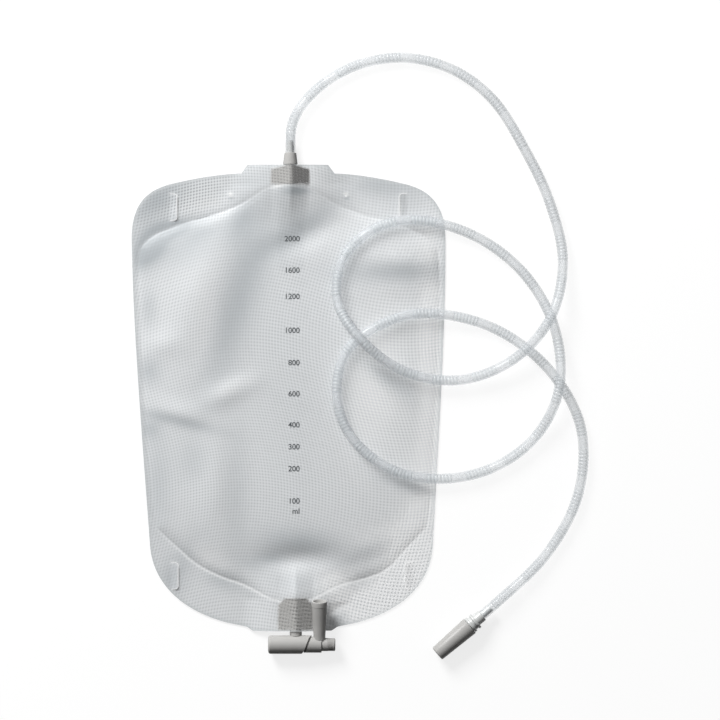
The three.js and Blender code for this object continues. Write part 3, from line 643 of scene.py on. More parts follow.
# Catheter connector and its cap, on a line that lies level on the table
connector = {
    "root": (125.7, -158.5, 6.45),
    "heading": (-0.759271, -0.650774, 0),
    "capRoot": 6.45,
    "capTip": 5.35,
    "capLength": 29.75,
    "capWall": 1.1,
    "capEndWall": 1.4,
    "capRound": 0.9,
    "capSink": 0.25,  # dished middle of the cap's end
    "bore": 1.5,
    "barb": 2.3,
    "barbLength": 8,
    "boss": 4.15,
    "bossLength": 5.6,
    "collar": 5.9,
    "waist": 5,
    "flange": 1.7,
    "collarLength": 5.4,
    "steps": 4,
    "stepHeight": 0.45,
    "coneClearance": 0.45,
    "tipGap": 1.2,
    "tones": ("#cbcccb", "#bfc1c0"),
    "flowMarks": 8.33,
}


def capInside(s, along):
    return s["capRoot"] - s["capWall"] + (s["capTip"] - s["capRoot"]) * along / s["capLength"]


def connectorMesh(s, material):
    collarEnd = -0.3
    collarStart = collarEnd - s["collarLength"]
    bossStart = collarStart - s["bossLength"]
    barbStart = bossStart - s["barbLength"]
    tip = s["capLength"] - s["capEndWall"] - s["tipGap"]
    profile = [(s["bore"], barbStart), (s["barb"] - 0.4, barbStart), (s["barb"], barbStart + 0.4),
               (s["barb"], bossStart), (s["boss"], bossStart), (s["boss"], collarStart),
               (s["collar"], collarStart), (s["collar"], collarStart + s["flange"]),
               (s["waist"], collarStart + s["flange"]), (s["waist"], collarEnd - s["flange"]),
               (s["collar"], collarEnd - s["flange"]), (s["collar"], collarEnd)]
    stepLength = (tip - collarEnd) / s["steps"]
    for i in range(s["steps"]):
        start = collarEnd + i * stepLength
        fall = s["stepHeight"] * i
        for at, drop in ((start, s["stepHeight"]), (start + stepLength * 0.75, 0),
                         (start + stepLength, s["stepHeight"])):
            profile.append((capInside(s, max(at, 0)) - s["coneClearance"] - fall - drop, at))
    profile.append((s["bore"], tip))
    return finished(turned(softened(profile, 0.35, 3), s["root"], s["heading"]), material)


def capMesh(s, material):
    inside = s["capLength"] - s["capEndWall"]
    profile = [(0, inside), (capInside(s, inside), inside), (capInside(s, 0.5), 0.5),
               (capInside(s, 0) + 0.25, 0), (s["capRoot"] - 0.15, 0), (s["capRoot"], 0.3)]
    profile += roundedEnd(s["capTip"], s["capLength"], s["capRound"])
    sunk = s["capLength"] - s["capSink"]
    profile += [(s["capTip"] - 2.2, s["capLength"] - 0.01), (s["capTip"] - 2.5, sunk), (0, sunk)]
    return finished(turned(profile, s["root"], s["heading"], 96), material)


# Natural white polypropylene, moulded: smooth and slightly milky, with a soft gloss
whiteFinish = mottledFinish("moulded_white_polypropylene", connector["tones"],
                            connector["flowMarks"], {"Roughness": 0.3, "IOR": 1.49},
                            relief={"Strength": 0.08, "Distance": 0.00003})
connectorPiece = addPiece("connector_body", connectorMesh(connector, whiteFinish), "bag",
                          ["tube_connector"])
capPiece = addPiece("connector_cap_shell", capMesh(connector, capFinish), "cap",
                    ["connector_cap"])
print("connector made")

# Bag films: their outline, the weld line of the chamber, and how they puff and drape
bag = {
    "centreX": 1.01,
    "lean": -0.0093,
    "outline": [
        [(28, 161.1), (32.3, 155.2)],
        [(32.3, 155.2), (48, 155), (66, 151.6), (78.5, 148.6)],
        [(78.5, 148.6), (99.5, 144.3), (109, 132.9), (109, 109.1)],
        [(109, 109.1), (108.6, 45.1), (102.6, -34.9), (98.1, -104.9)],
        [(98.1, -104.9), (95.5, -130.9), (75.1, -149), (44.5, -156.8)],
        [(44.5, -156.8), (31.5, -159.5)],
        [(31.5, -159.5), (27.2, -162.3)],
    ],
    "weld": [
        (12.9, 147.1), (26.4, 137.6), (36, 132.4), (51.6, 126.5), (72.6, 121), (91, 114),
        (99.1, 108.8), (105.6, 99.4), (101.65, 5.7), (96.1, -88), (88.1, -96), (78.1, -105),
        (66.1, -116), (48.1, -125), (32, -129.7), (11.8, -141.3),
    ],
    "weldSag": [(66, -116, -30, 26, 16, -4.5)],
    "slits": [(77, 132), (78.6, -124.2)],
    "slitLength": 19,
    "slitReach": 5.2,
    "slitRound": 2.6,
    "slitWidth": 0.28,
    "tongueLift": 1.3,  # how far the tongue inside a slit stands up at its free end
    "hole": (40.2, 139.9, 0.9),
    "thickness": 0.4,
    "plyGap": 0.1,
    "puff": 6,
    "puffReach": 22,
    "edgePuff": 0.13,  # share of the puff that comes at once, beside the weld
    "edgeReach": 3,
    "wave": 0.55,
    "dive": 6.3,
    "diveY": -160,
    "tentSpread": 0.8,  # how fast the propped-up film widens, away from a port
    "seat": 0.3,
    "grid": 1.1,  # half the net's pitch
    "coarseGrid": 5,
    "dimple": 0.07,  # depth of each pit that the embossing roller leaves
    "groove": 0.22,  # depth of the line that the welding bar leaves
    "innerLine": 2.5,  # where the bar's inner edge leaves a fainter line
    "innerShare": 0.4,
    "lineWidth": 0.7,
    "edgeWidth": 1.6,
    "weldBand": (-1.6, 4),  # beside the weld, where its own rows of points take over from the net
    "gridReach": (118, 174),
    "clingEverywhere": 0.31,
    "paleCrisp": 0.6,  # how much more the net stands out in the palest patches
    "clearOverPort": 1.2,  # how far the film that is fused to a port fades back to milky
}

# Folds of the front film: x, y, heading in degrees, half length, half width, height. The other
# list has the patches where the films are clinging together, which look darker, or where they let
# more of the table through, which makes them paler, with a strength below zero. Many of the dark
# patches are painted shade: under the tube's loops, below the inlet port, in the crease above the
# outlet, inside the weld at the top left and below the two locating holes; the pale patches beside
# the spout are painted light over its shade
folds = [
    (-62, 75, 72, 55, 20, 4.2), (-91, 36, 10, 14, 9, 2.4), (-42, 3, 24, 20, 8, 1.6),
    (-79, -10, -15, 20, 7, 1.6), (-52, -62, 90, 42, 12, 1.8), (10, 111, 23, 24, 9, -2.2),
    (84, 95, 0, 22, 8, 1.2), (6, -112, 0, 26, 8, -3.4), (60, -112, 20, 20, 6, -1.2),
]
clingAndShadePatches = [
    (-34, 70, 72, 75, 14, 0.5), (10, 118, 35, 32, 9, 0.45), (78, 87, 0, 40, 8, 0.5),
    (-97, 18, 10, 9, 10, 0.4), (-78, -16, -14, 30, 4, 0.4), (-36, -66, 90, 50, 9, 0.2),
    (9, -101, -5, 29, 10, 0.46), (52, -108, 25, 24, 5, 0.15), (-58, -110, -30, 20, 8, -0.2),
    (6, 143, 0, 9, 3, 0.7), (38, -150, 60, 12, 6, 0.4), (-92, 137, 40, 24, 12, 0.6),
    (-97, 103, 50, 17, 9, 1), (-82, 118, 20, 18, 6, 0.6), (88, -104, 65, 60, 18, -0.5),
    (60, 15, 80, 60, 22, -0.3), (98, 30, 90, 110, 9, -0.4), (-33, 124, 70, 18, 10, 0.45),
    (27, -127, 0, 9, 8, -0.3), (-80, -124, 60, 30, 10, 0.4), (-91, -60, 90, 40, 10, 0.3),
    (66, -142, 20, 30, 12, -0.3), (-70, 104, 20, 24, 12, 0.4), (-46, -128, -20, 14, 6, 0.35),
    (-58, 50, 80, 35, 10, -0.2), (-41, 7, 24, 14, 6, -0.2), (90, 140, -30, 25, 15, 0.2),
    (85, -45, 90, 30, 15, -0.15), (-30, 149, 20, 16, 6, 0.2), (3, -129, 0, 16, 8, 0.25),
    (35, -128, 30, 12, 6, -0.25), (-13, -112, 0, 11, 5, 0.4), (62, 147, -5, 20, 8, 0.35),
    (-58, 116, 20, 16, 6, 0.3), (-97, 62, 90, 14, 6, 0.3), (-97, -22, 0, 8, 8, 0.35),
    (-66, -44, 90, 14, 10, 0.2), (68, 14, -38, 20, 6, 0.5), (0, 0, 90, 120, 28, 0.08),
    (40, -144, 20, 11, 9, -0.6), (-66, 130, 15, 25, 8, -0.15), (5, -158, 0, 8, 4, -0.2),
    (-77, 116, 24, 13, 4, 0.35), (-54, 126, 20, 12, 4, 0.2), (88, -63, -18, 24, 5, 0.4),
    (-40.2, 138.3, 0, 1.6, 1, 0.7), (40.4, 138.3, 0, 1.6, 1, 0.7), (64, -97, 10, 32, 10, -0.15),
    (-24, -117, -20, 10, 5, 0.22),
]
# Painted highlights: bright spots on the folds beside the ports, and on the film just above the
# two locating holes
glints = [(-6.7, 146.6, 12, 5, 1.3, 1), (-5.3, -159.2, 0, 1.6, 0.9, 1),
          (-40.5, 141.3, 0, 1.7, 1.1, 1), (39.9, 141.3, 0, 1.7, 1.1, 1)]
crispPatches = [(-75, 139, 20, 42, 15, 1), (40, 135, 0, 40, 20, -0.4)]  # where the net stands out


def smoothStep(value):
    t = np.clip(value, 0, 1)
    return t * t * (3 - 2 * t)


def centreAt(y):
    return bag["centreX"] + bag["lean"] * y


def mirrored(half):
    half = np.array(half, float)
    centre = centreAt(half[:, 1])
    right = np.column_stack([centre + half[:, 0], half[:, 1]])
    left = np.column_stack([centre - half[:, 0], half[:, 1]])[::-1]
    return np.vstack([right, left])


def outlineLoop(step=1.3):
    half = []
    for span in bag["outline"]:
        span = [np.array(p, float) for p in span]
        if len(span) == 2:
            span = [span[0], (2 * span[0] + span[1]) / 3, (span[0] + 2 * span[1]) / 3, span[1]]
        reach = np.linalg.norm(span[1] - span[0]) + np.linalg.norm(span[2] - span[1])
        reach += np.linalg.norm(span[3] - span[2])
        for t in np.linspace(0, 1, max(int(reach / step), 2), endpoint=False):
            a, b, c, d = span
            half.append(a * (1 - t) ** 3 + 3 * b * t * (1 - t) ** 2 + 3 * c * t * t * (1 - t)
                        + d * t ** 3)
    half.append(np.array(bag["outline"][-1][-1], float))
    loop = mirrored(half)
    gaps = []
    for a, b in ((loop[len(half) - 1], loop[len(half)]), (loop[-1], loop[0])):
        count = int(np.linalg.norm(b - a) / step)
        gaps.append([a + (b - a) * i / count for i in range(1, count)])
    return np.vstack([loop[:len(half)], gaps[0], loop[len(half):], gaps[1]])


def bracketLine(x, y, side, inset):
    # One bank of a slit: a bracket with rounded corners that opens towards the bag's edge
    half, corner = bag["slitLength"] / 2 - inset, bag["slitRound"] - inset
    x += side * inset
    turns = np.linspace(0, math.pi / 2, 6)
    line = [(bag["slitReach"] - inset, -half)]
    line += [(corner * (1 - math.sin(t)), corner * (1 - math.cos(t)) - half) for t in turns]
    line += [(across, -up) for across, up in line[::-1]]
    return np.array([(x + side * across, y + up) for across, up in line])


def slitPlaces():
    return [(centreAt(y) + side * away, y, side) for side in (-1, 1) for away, y in bag["slits"]]


def slitLoops():
    loops = [np.vstack([bracketLine(*place, 0), bracketLine(*place, bag["slitWidth"])[::-1]])
             for place in slitPlaces()]
    away, y, radius = bag["hole"]
    turns = np.linspace(0, 2 * math.pi, 18, endpoint=False)
    for side in (-1, 1):
        x = centreAt(y) + side * away
        loops.append(np.column_stack([x + radius * np.cos(turns), y + radius * np.sin(turns)]))
    return loops


def tongueRise(px, py):
    # The tongue inside each slit lifts towards the slit, as it does once it has been pushed out
    rise = np.zeros(len(px))
    for x, y, side in slitPlaces():
        inside = insideOf(bracketLine(x, y, side, bag["slitWidth"] * 0.6), px, py)
        share = 1 - side * (px - x) / bag["slitReach"]
        rise += inside * bag["tongueLift"] * np.clip(share, 0, 1)
    return rise


def distanceTo(loop, x, y):
    nearest = np.full(len(x), 1e9)
    for a, b in zip(loop, np.roll(loop, -1, axis=0)):
        run = b - a
        t = np.clip(((x - a[0]) * run[0] + (y - a[1]) * run[1]) / (run @ run), 0, 1)
        nearest = np.minimum(nearest, np.hypot(x - a[0] - t * run[0], y - a[1] - t * run[1]))
    return nearest


def insideOf(loop, x, y):
    hit = np.zeros(len(x), bool)
    for a, b in zip(loop, np.roll(loop, -1, axis=0)):
        if a[1] != b[1]:
            crosses = (a[1] > y) != (b[1] > y)
            hit ^= crosses & (x < a[0] + (y - a[1]) * (b[0] - a[0]) / (b[1] - a[1]))
    return hit


def creaseHeight(creases, x, y):
    total = np.zeros(len(x))
    for cx, cy, heading, reach, spread, height in creases:
        c, s = math.cos(math.radians(heading)), math.sin(math.radians(heading))
        along = ((x - cx) * c + (y - cy) * s) / reach
        over = ((y - cy) * c - (x - cx) * s) / spread
        total += height * np.exp(-along * along - over * over)
    return total


def ridge(distance, width):
    return np.exp(-(distance / width) ** 2)


def roundedWeld(loop):
    # The weld sags on one side of the tap, and has no sharp corners
    loop[:, 1] += creaseHeight(bag["weldSag"], loop[:, 0], loop[:, 1])
    for i in range(2):
        ahead = np.roll(loop, -1, axis=0)
        loop = np.stack([0.75 * loop + 0.25 * ahead, 0.25 * loop + 0.75 * ahead], axis=1)
        loop = loop.reshape(-1, 2)
    return loop


weldLoop = roundedWeld(mirrored(bag["weld"]))
filmPorts = [
    (ports["inletX"], ports["inletHalfWidth"], ports["inletBottom"], 1, 32, 32, 32, 0),
    (ports["outletX"], ports["outletHalfWidth"], ports["outletTop"], -1, 26, 30, 27, 0.07),
]


def heldByPort(port, x, y):
    # How far a port props the films up: beside it, and inwards, where the prop fades but spreads
    portX, half, innerY, inward, fallLeft, fallRight, reach, opens = port
    inwards = np.maximum((innerY - y) * inward, 0)
    if opens:
        # Under the spout the film has to dive, and it opens out past the mouth
        past = np.maximum(y - bag["diveY"], 0)
        fallRight = np.minimum(bag["dive"] + opens * past * past, fallRight)
    fall = np.where(x > portX, fallRight, fallLeft) + bag["tentSpread"] * inwards
    aside = np.maximum(np.abs(x - portX) - half, 0)
    return smoothStep(1 - aside / fall), smoothStep(1 - inwards / reach)


def seam(x, y):
    # Height of the plane between the films, and half the opening, which the ports force apart
    flat = bag["thickness"] + bag["plyGap"] / 2
    middle = np.full(len(x), flat)
    opening = np.full(len(x), bag["plyGap"] / 2)
    for port in filmPorts:
        side, drape = heldByPort(port, x, y)
        within = np.maximum(1 - np.abs(x - port[0]) / port[1], 0)
        swell = (ports["halfThickness"] - ports["tip"]) * within
        middle = middle + (ports["axisZ"] - flat) * side * drape
        opening = np.maximum(opening, (swell + (ports["tip"] + bag["seat"]) * side) * drape)
    return middle + tongueRise(x, y), opening


def depthAt(x, y):
    # Distance in from the weld, averaged over a small round so that no crease starts at a corner
    depth = np.where(insideOf(weldLoop, x, y), distanceTo(weldLoop, x, y), 0)
    reach = np.minimum(depth * 0.7, 11)
    total = depth.copy()
    for i in range(8):
        nearX = x + reach * math.cos(i * math.pi / 4)
        nearY = y + reach * math.sin(i * math.pi / 4)
        total += distanceTo(weldLoop, nearX, nearY) * (depth > 0)
    return total / 9


def puffAt(x, y):
    depth = depthAt(x, y)
    held = np.zeros(len(x))
    for port in filmPorts:
        side, drape = heldByPort(port, x, y)
        held = np.maximum(held, side * drape)
    edge = bag["edgePuff"] * endShare(y) * (1 - held)
    broad = 1 - np.exp(-depth / bag["puffReach"])
    puff = (1 - edge) * broad + edge * (1 - np.exp(-depth / bag["edgeReach"]))
    return puff * (1 - 0.8 * held)


def endShare(y):
    # The weld marks the film at the two ends of the bag, and hardly along its sides
    return 0.2 + 0.8 * smoothStep((np.abs(y) - 78) / 22)


def frontTop(x, y):
    middle, opening = seam(x, y)
    puff = puffAt(x, y)
    wave = np.sin((x + 0.45 * y) / 21) * np.cos((y - 0.3 * x) / 37)
    rise = bag["puff"] + creaseHeight(folds, x, y) + bag["wave"] * wave * puff
    return middle + opening + puff * rise + bag["thickness"]


def backUnderside(x, y):
    middle, opening = seam(x, y)
    return middle - opening - bag["thickness"]


def warp(x, y):
    # The rows of the net bow and wander across the bag, and lie closer in places
    return (9 * np.sin(y / 34 + 0.4) + 3.2 * np.sin(x / 33 + 1.2),
            10 * np.sin(x / 36 - 0.7) + 3 * np.sin(y / 36 + 1.1))


def triangulated(loops, grid):
    # Triangles over the outline, with its slits and holes left out
    outline = loops[0]
    edges, points = [], []
    for loop in loops:
        first = len(points)
        points += [tuple(p) for p in loop]
        edges += [(first + i, first + (i + 1) % len(loop)) for i in range(len(loop))]
    points += [tuple(p) for p in grid]
    result = delaunay_2d_cdt([Vector(p) for p in points], edges, [], 1, 1e-5, False)
    flat = np.array([tuple(v) for v in result[0]])
    faces = np.array(result[2])
    middle = flat[faces].mean(axis=1)
    keep = insideOf(outline, middle[:, 0], middle[:, 1])
    for hole in loops[1:]:
        keep &= ~insideOf(hole, middle[:, 0], middle[:, 1])
    faces = faces[keep]
    a, b, c = flat[faces[:, 0]], flat[faces[:, 1]], flat[faces[:, 2]]
    turn = (b[:, 0] - a[:, 0]) * (c[:, 1] - a[:, 1]) - (b[:, 1] - a[:, 1]) * (c[:, 0] - a[:, 0])
    faces[turn < 0] = faces[turn < 0][:, ::-1]
    return flat, faces


def evenly(loop, step):
    closed = np.vstack([loop, loop[:1]])
    lengths = np.concatenate([[0], np.cumsum(np.linalg.norm(np.diff(closed, axis=0), axis=1))])
    at = np.linspace(0, lengths[-1], int(lengths[-1] / step), endpoint=False)
    return np.column_stack([np.interp(at, lengths, closed[:, k]) for k in range(2)])


def weldRows(step):
    # Rows of points along the weld, so that its two lines are even
    row = evenly(weldLoop, step)
    way = np.roll(row, -1, axis=0) - np.roll(row, 1, axis=0)
    way /= np.linalg.norm(way, axis=1)[:, None]
    inward = np.column_stack([way[:, 1], -way[:, 0]])
    middle = bag["innerLine"]
    offsets = (-0.9, 0, 0.9, middle - 0.8, middle, middle + 0.8)
    return np.vstack([row + inward * offset for offset in offsets])


def weldDepth(x, y):
    # Distance from the weld, positive inside the chamber
    return distanceTo(weldLoop, x, y) * np.where(insideOf(weldLoop, x, y), 1, -1)


def weldLines(x, y):
    depth = weldDepth(x, y)
    inner = bag["innerShare"] * ridge(depth - bag["innerLine"], bag["lineWidth"])
    return (ridge(depth, bag["lineWidth"]) + inner) * endShare(y)


def netGrid(loops, pitch, clear):
    # Grid points in the net's own coordinates, and where they fall on the bag
    wide, tall = [math.ceil(reach / pitch) for reach in bag["gridReach"]]
    u, v = np.meshgrid(np.arange(-wide, wide + 1) * pitch, np.arange(-tall, tall + 1) * pitch)
    x, y = u, v = u.ravel(), v.ravel()
    for i in range(8):
        shiftX, shiftY = warp(x, y)
        x, y = u - shiftX, v - shiftY
    keep = insideOf(loops[0], x, y) & (distanceTo(loops[0], x, y) > clear)
    depth = weldDepth(x, y)
    keep &= (depth < bag["weldBand"][0]) | (depth > bag["weldBand"][1])
    rows = weldRows(pitch)
    x, y = np.append(x[keep], rows[:, 0]), np.append(y[keep], rows[:, 1])
    for hole in loops[1:]:
        keep = (distanceTo(hole, x, y) > 0.4) & ~insideOf(hole, x, y)
        x, y = x[keep], y[keep]
    return np.column_stack([x, y])


def filmMesh(name, outerSide, inward, materials):
    # A fine outer face with the net's pits, a coarse inner face, and the edges between them
    loops = [outlineLoop(), *slitLoops()]
    fine, fineFaces = triangulated(loops, netGrid(loops, bag["grid"], 0.5))
    coarse, coarseFaces = triangulated(loops, netGrid(loops, bag["coarseGrid"], 2))
    x, y = fine[:, 0], fine[:, 1]
    shiftX, shiftY = warp(x, y)
    u, v = (x + shiftX) / bag["grid"], (y + shiftY) / bag["grid"]
    pit = (0.5 + 0.5 * np.cos(math.pi * u)) * (0.5 + 0.5 * np.cos(math.pi * v))
    border = distanceTo(loops[0], x, y)
    height = outerSide(x, y) + inward * bag["dimple"] * pit * smoothStep(border / 3)
    height += inward * bag["groove"] * weldLines(x, y)
    innerHeight = outerSide(coarse[:, 0], coarse[:, 1]) + inward * bag["thickness"]
    points = np.vstack([np.column_stack([x, y, height]), np.column_stack([coarse, innerHeight])])
    if inward > 0:
        fineFaces, coarseFaces = fineFaces[:, ::-1], coarseFaces[:, ::-1]
    edgeFaces = rimFaces(fine, fineFaces, coarse, len(fine))
    faces = fineFaces.tolist() + (coarseFaces[:, ::-1] + len(fine)).tolist() + edgeFaces
    mesh = bpy.data.meshes.new(name)
    mesh.from_pydata(points * mm, [], faces)
    for material in materials:
        mesh.materials.append(material)
    inner = np.zeros(len(faces), np.int32)
    inner[len(fineFaces):len(fineFaces) + len(coarseFaces)] = 1
    mesh.polygons.foreach_set("material_index", inner)
    addFields(mesh, points, x, y)
    mesh.shade_smooth()
    mesh.set_sharp_from_angle(angle=math.radians(50))
    return mesh


def rimFaces(fine, fineFaces, coarse, shift):
    # Closes the film's edges, round the outline and in every slit and hole
    partner = {(round(px, 4), round(py, 4)): i + shift for i, (px, py) in enumerate(coarse)}
    seen = {}
    for a, b, c in fineFaces:
        for pair in ((a, b), (b, c), (c, a)):
            seen[pair] = True
    faces = []
    for a, b in seen:
        if (b, a) not in seen:
            below = [partner[(round(fine[i][0], 4), round(fine[i][1], 4))] for i in (a, b)]
            faces.append((b, a, below[0], below[1]))
    return faces


def fusedToPort(x, y):
    # 1 where a film lies on a port, which turns it clear, and the share of that on the port's
    # right side, which is painted shade
    fused, paintedPortShade = np.zeros(len(x)), np.zeros(len(x))
    p = ports
    spans = ((p["inletX"], p["inletHalfWidth"], p["inletBottom"], p["inletTop"], 0,
              p["shoulderDrop"], 1),
             (p["outletX"], p["outletHalfWidth"], p["outletBottom"], p["outletTop"],
              p["chamfer"], 0, 0.3))
    for portX, half, low, high, chamfer, drop, dark in spans:
        aside = np.abs(x - portX)
        width = half - np.clip(y - high + chamfer, 0, chamfer)
        above = y - high + drop * np.minimum(aside / half, 1)
        beyond = np.hypot(np.maximum(aside - width, 0), np.maximum(np.maximum(low - y, above), 0))
        here = smoothStep(1 - beyond / bag["clearOverPort"])
        fused = np.maximum(fused, here)
        paintedPortShade = np.maximum(paintedPortShade, here * dark * smoothStep((x - portX - 0.8) / 1.5))
    return fused, paintedPortShade


def weldShine(x, y):
    # Painted highlight along the weld: a bright line near the tap, faint at the inlet
    return np.where(y < 0, 0.66 * smoothStep((102 - np.abs(x)) / 38), 0.2)


def addFields(mesh, points, x, y):
    # Net coordinates as a UV map, and how close each point is to the weld, the edge and so on
    px, py = points[:, 0], points[:, 1]
    shiftX, shiftY = warp(px, py)
    corners = np.zeros(len(mesh.loops), np.int32)
    mesh.loops.foreach_get("vertex_index", corners)
    rows = np.column_stack([px + shiftX, py + shiftY]) * mm
    layer = mesh.uv_layers.new(name="net")
    layer.data.foreach_set("uv", rows[corners].ravel().astype(np.float32))
    width = bag["lineWidth"]
    # Painted highlight: a bright line just outside the weld, the glints, and fainter along the
    # slits' banks; it goes into the weld field
    paintedHighlight = ridge(weldDepth(px, py) + width, width) * weldShine(px, py)
    paintedHighlight = paintedHighlight * endShare(py) + creaseHeight(glints, px, py)
    edge = ridge(distanceTo(outlineLoop(4), px, py), bag["edgeWidth"])
    slitEdgeHighlight = ridge(np.min([distanceTo(hole, px, py) for hole in slitLoops()], axis=0), width)
    # Tone where the films are clinging, partly painted shade from the patches for shadows and
    # creases
    clingAndShade = np.clip(bag["clingEverywhere"] + creaseHeight(clingAndShadePatches, px, py), 0, 1)
    fused, paintedPortShade = fusedToPort(px, py)
    pale = np.clip(1 - clingAndShade / bag["clingEverywhere"], 0, 1)
    crisp = creaseHeight(crispPatches, px, py) + bag["paleCrisp"] * pale
    for name, values in (("weld", np.maximum(paintedHighlight, slitEdgeHighlight * 0.4)), ("edge", edge), ("paintedPortShade", paintedPortShade),
                         ("fused", fused), ("clingAndShade", clingAndShade), ("crisp", crisp)):
        addField(mesh, name, values)


film = {
    "innerColour": "#ebedee",
    "paleColour": "#fcfdfe",
    # Darker tone where the films are clinging, also used as painted shade
    "clingAndShadeColour": "#b4babe",
    "pitColour": "#bdc1c4",
    "crispColour": "#a1a5a8",
    "fusedColour": "#bcbbb9",
    # Painted shade on the right side of a port, seen through the fused film
    "paintedPortShadeColour": "#757473",
    # Painted highlight colour of the weld field: weld line, glints and slit banks
    "weldColour": "#fdfefe",
    "edgeColour": "#d3d7d9",
    "netPitch": 2.2,
    "cloudSize": 26.3,  # drift in how deep the net is pressed
    "innerPatch": 16.7,
    # Opacity, and how much less of it there is in the palest patches, between the pits: more at
    # the back, because the back film lies in the front film's shade
    "front": (0.66, 0.34),
    "back": (0.81, 0.66),
    "fusedOpacity": (0.62, 0.2),  # over a port, between the pits and in them
    "innerOpacity": 0.12,
    "roughness": 0.42,
}


def embossedPvcFilm(s, name, opacity, paleLoss):
    # Soft PVC film, calendered and embossed with a net: milky, satin, darker in each pit
    material, tree = newMaterial(name)
    fields = {field: addNode(tree, "Attribute", {"attribute_name": field}).outputs["Fac"]
              for field in ("clingAndShade", "crisp", "weld", "edge", "fused", "paintedPortShade")}
    net = addNode(tree, "UVMap", {"uv_map": "net"})
    turns = 2 * math.pi / (s["netPitch"] * mm)
    scaled = addNode(tree, "VectorMath", {"operation": "SCALE", "Scale": turns}, {0: net})
    split = addNode(tree, "SeparateXYZ", links={0: scaled})
    waves = [addNode(tree, "Math", {"operation": "COSINE"}, {0: split.outputs[k]})
             for k in range(2)]
    both = addNode(tree, "Math", {"operation": "ADD"}, {0: waves[0], 1: waves[1]})
    pit = addNode(tree, "Math", {"operation": "MULTIPLY_ADD", 1: 0.25, 2: 0.5}, {0: both})
    dot = addNode(tree, "MapRange", {"interpolation_type": "SMOOTHSTEP", "From Min": 0.38,
                                     "From Max": 1}, {"Value": pit})
    cloud = addNode(tree, "TexNoise", {"Scale": 1 / (s["cloudSize"] * mm), "Detail": 4.0,
                                       "Roughness": 0.55}, {"Vector": net})
    fade = addNode(tree, "MapRange", {"To Min": 0.2, "To Max": 0.8}, {"Value": cloud})
    faded = addNode(tree, "Math", {"operation": "MULTIPLY_ADD", 1: 0.6},
                    {0: fields["crisp"], 2: fade})
    strong = addNode(tree, "Math", {"operation": "MULTIPLY", "use_clamp": True},
                     {0: dot, 1: faded})
    # Tones that each field brings in, and then what lies on top of what
    # The first tone, where the films are clinging, is partly painted shade
    tones = {field: addNode(tree, "Mix", {"data_type": "RGBA", 6: linear(s[first]),
                                          7: linear(s[second])}, {0: fields[field]}).outputs[2]
             for field, first, second in (("clingAndShade", "paleColour", "clingAndShadeColour"),
                                          ("crisp", "pitColour", "crispColour"),
                                          ("paintedPortShade", "fusedColour", "paintedPortShadeColour"))}
    colour = addNode(tree, "Mix", {"data_type": "RGBA"},
                     {0: strong, 6: tones["clingAndShade"], 7: tones["crisp"]}).outputs[2]
    # The weld field paints highlights: a bright line by the weld, the glints and the slits' banks
    for field in ("weld", "edge"):
        colour = addNode(tree, "Mix", {"data_type": "RGBA", 7: linear(s[field + "Colour"])},
                         {0: fields[field], 6: colour}).outputs[2]
    # Over a port the film turns clear, and its right side gets painted shade
    colour = addNode(tree, "Mix", {"data_type": "RGBA"},
                     {0: fields["fused"], 6: colour, 7: tones["paintedPortShade"]}).outputs[2]
    # Opacity: less in the pits and in pale patches, and clearer where it is fused to a port
    pale = addNode(tree, "MapRange", {"From Max": bag["clingEverywhere"], "To Min": -paleLoss,
                                      "To Max": 0}, {"Value": fields["clingAndShade"]})
    netted = addNode(tree, "MapRange", {"To Min": opacity + 0.05, "To Max": opacity - 0.08},
                     {"Value": pit})
    ground = addNode(tree, "MapRange", {"To Min": 1, "To Max": 0.2}, {"Value": dot})
    milky = addNode(tree, "Math", {"operation": "MULTIPLY_ADD"}, {0: pale, 1: ground, 2: netted})
    between, inPit = s["fusedOpacity"]
    clear = addNode(tree, "MapRange", {"To Min": between, "To Max": inPit}, {"Value": dot})
    solid = addNode(tree, "Mix", {"data_type": "FLOAT"},
                    {"Factor": fields["fused"], "A": milky, "B": clear})
    relief = addNode(tree, "Bump", {"Strength": 0.3, "Distance": 0.00012, "invert": True},
                     {"Height": pit})
    rough = addNode(tree, "MapRange", {"To Min": s["roughness"] - 0.08,
                                       "To Max": s["roughness"] + 0.1}, {"Value": cloud})
    shader = addNode(tree, "BsdfPrincipled", {"IOR": 1.53, "Specular IOR Level": 0.4},
                     {"Base Color": colour, "Roughness": rough, "Normal": relief,
                      "Alpha": solid})
    return endMaterial(material, shader)


# The film's smooth inner face: matt in drifting patches, where the two films are clinging to each
# other
innerFinish = mottledFinish("pvc_film_inner_face", (film["innerColour"], film["edgeColour"]),
                            film["innerPatch"], {"Roughness": 0.5, "IOR": 1.53,
                                                 "Alpha": film["innerOpacity"]}, "UV")
filmMeshes = []
for side, outer, inward in (("front", frontTop, -1), ("back", backUnderside, 1)):
    finish = embossedPvcFilm(film, f"embossed_pvc_film_{side}", *film[side])
    filmMeshes.append(filmMesh(f"{side}_film_skin", outer, inward, [finish, innerFinish]))
    addPiece(f"{side}_film_skin", filmMeshes[-1], "bag", [f"{side}_film"])
print("films made", *[len(mesh.polygons) for mesh in filmMeshes], "faces")

# Volume scale: plain numbers and the unit, printed on the front film
scale = {
    "rightX": 7.9,
    "digitHeight": 3.75,
    "digitShare": 0.7,  # of the font's size
    "marks": [("2000", 110), ("1600", 88.1), ("1200", 69.9), ("1000", 46.4), ("800", 24),
              ("600", 2.4), ("400", -19.1), ("300", -34.3), ("200", -49.5), ("100", -71.9)],
    "unit": ("ml", -78.9),
    "inkLift": 0.03,
    "inkThickness": 0.01,
    "inkTones": ("#3b3f42", "#5a5f62"),
    "speck": 1.43,
    "weight": 0.09,
}


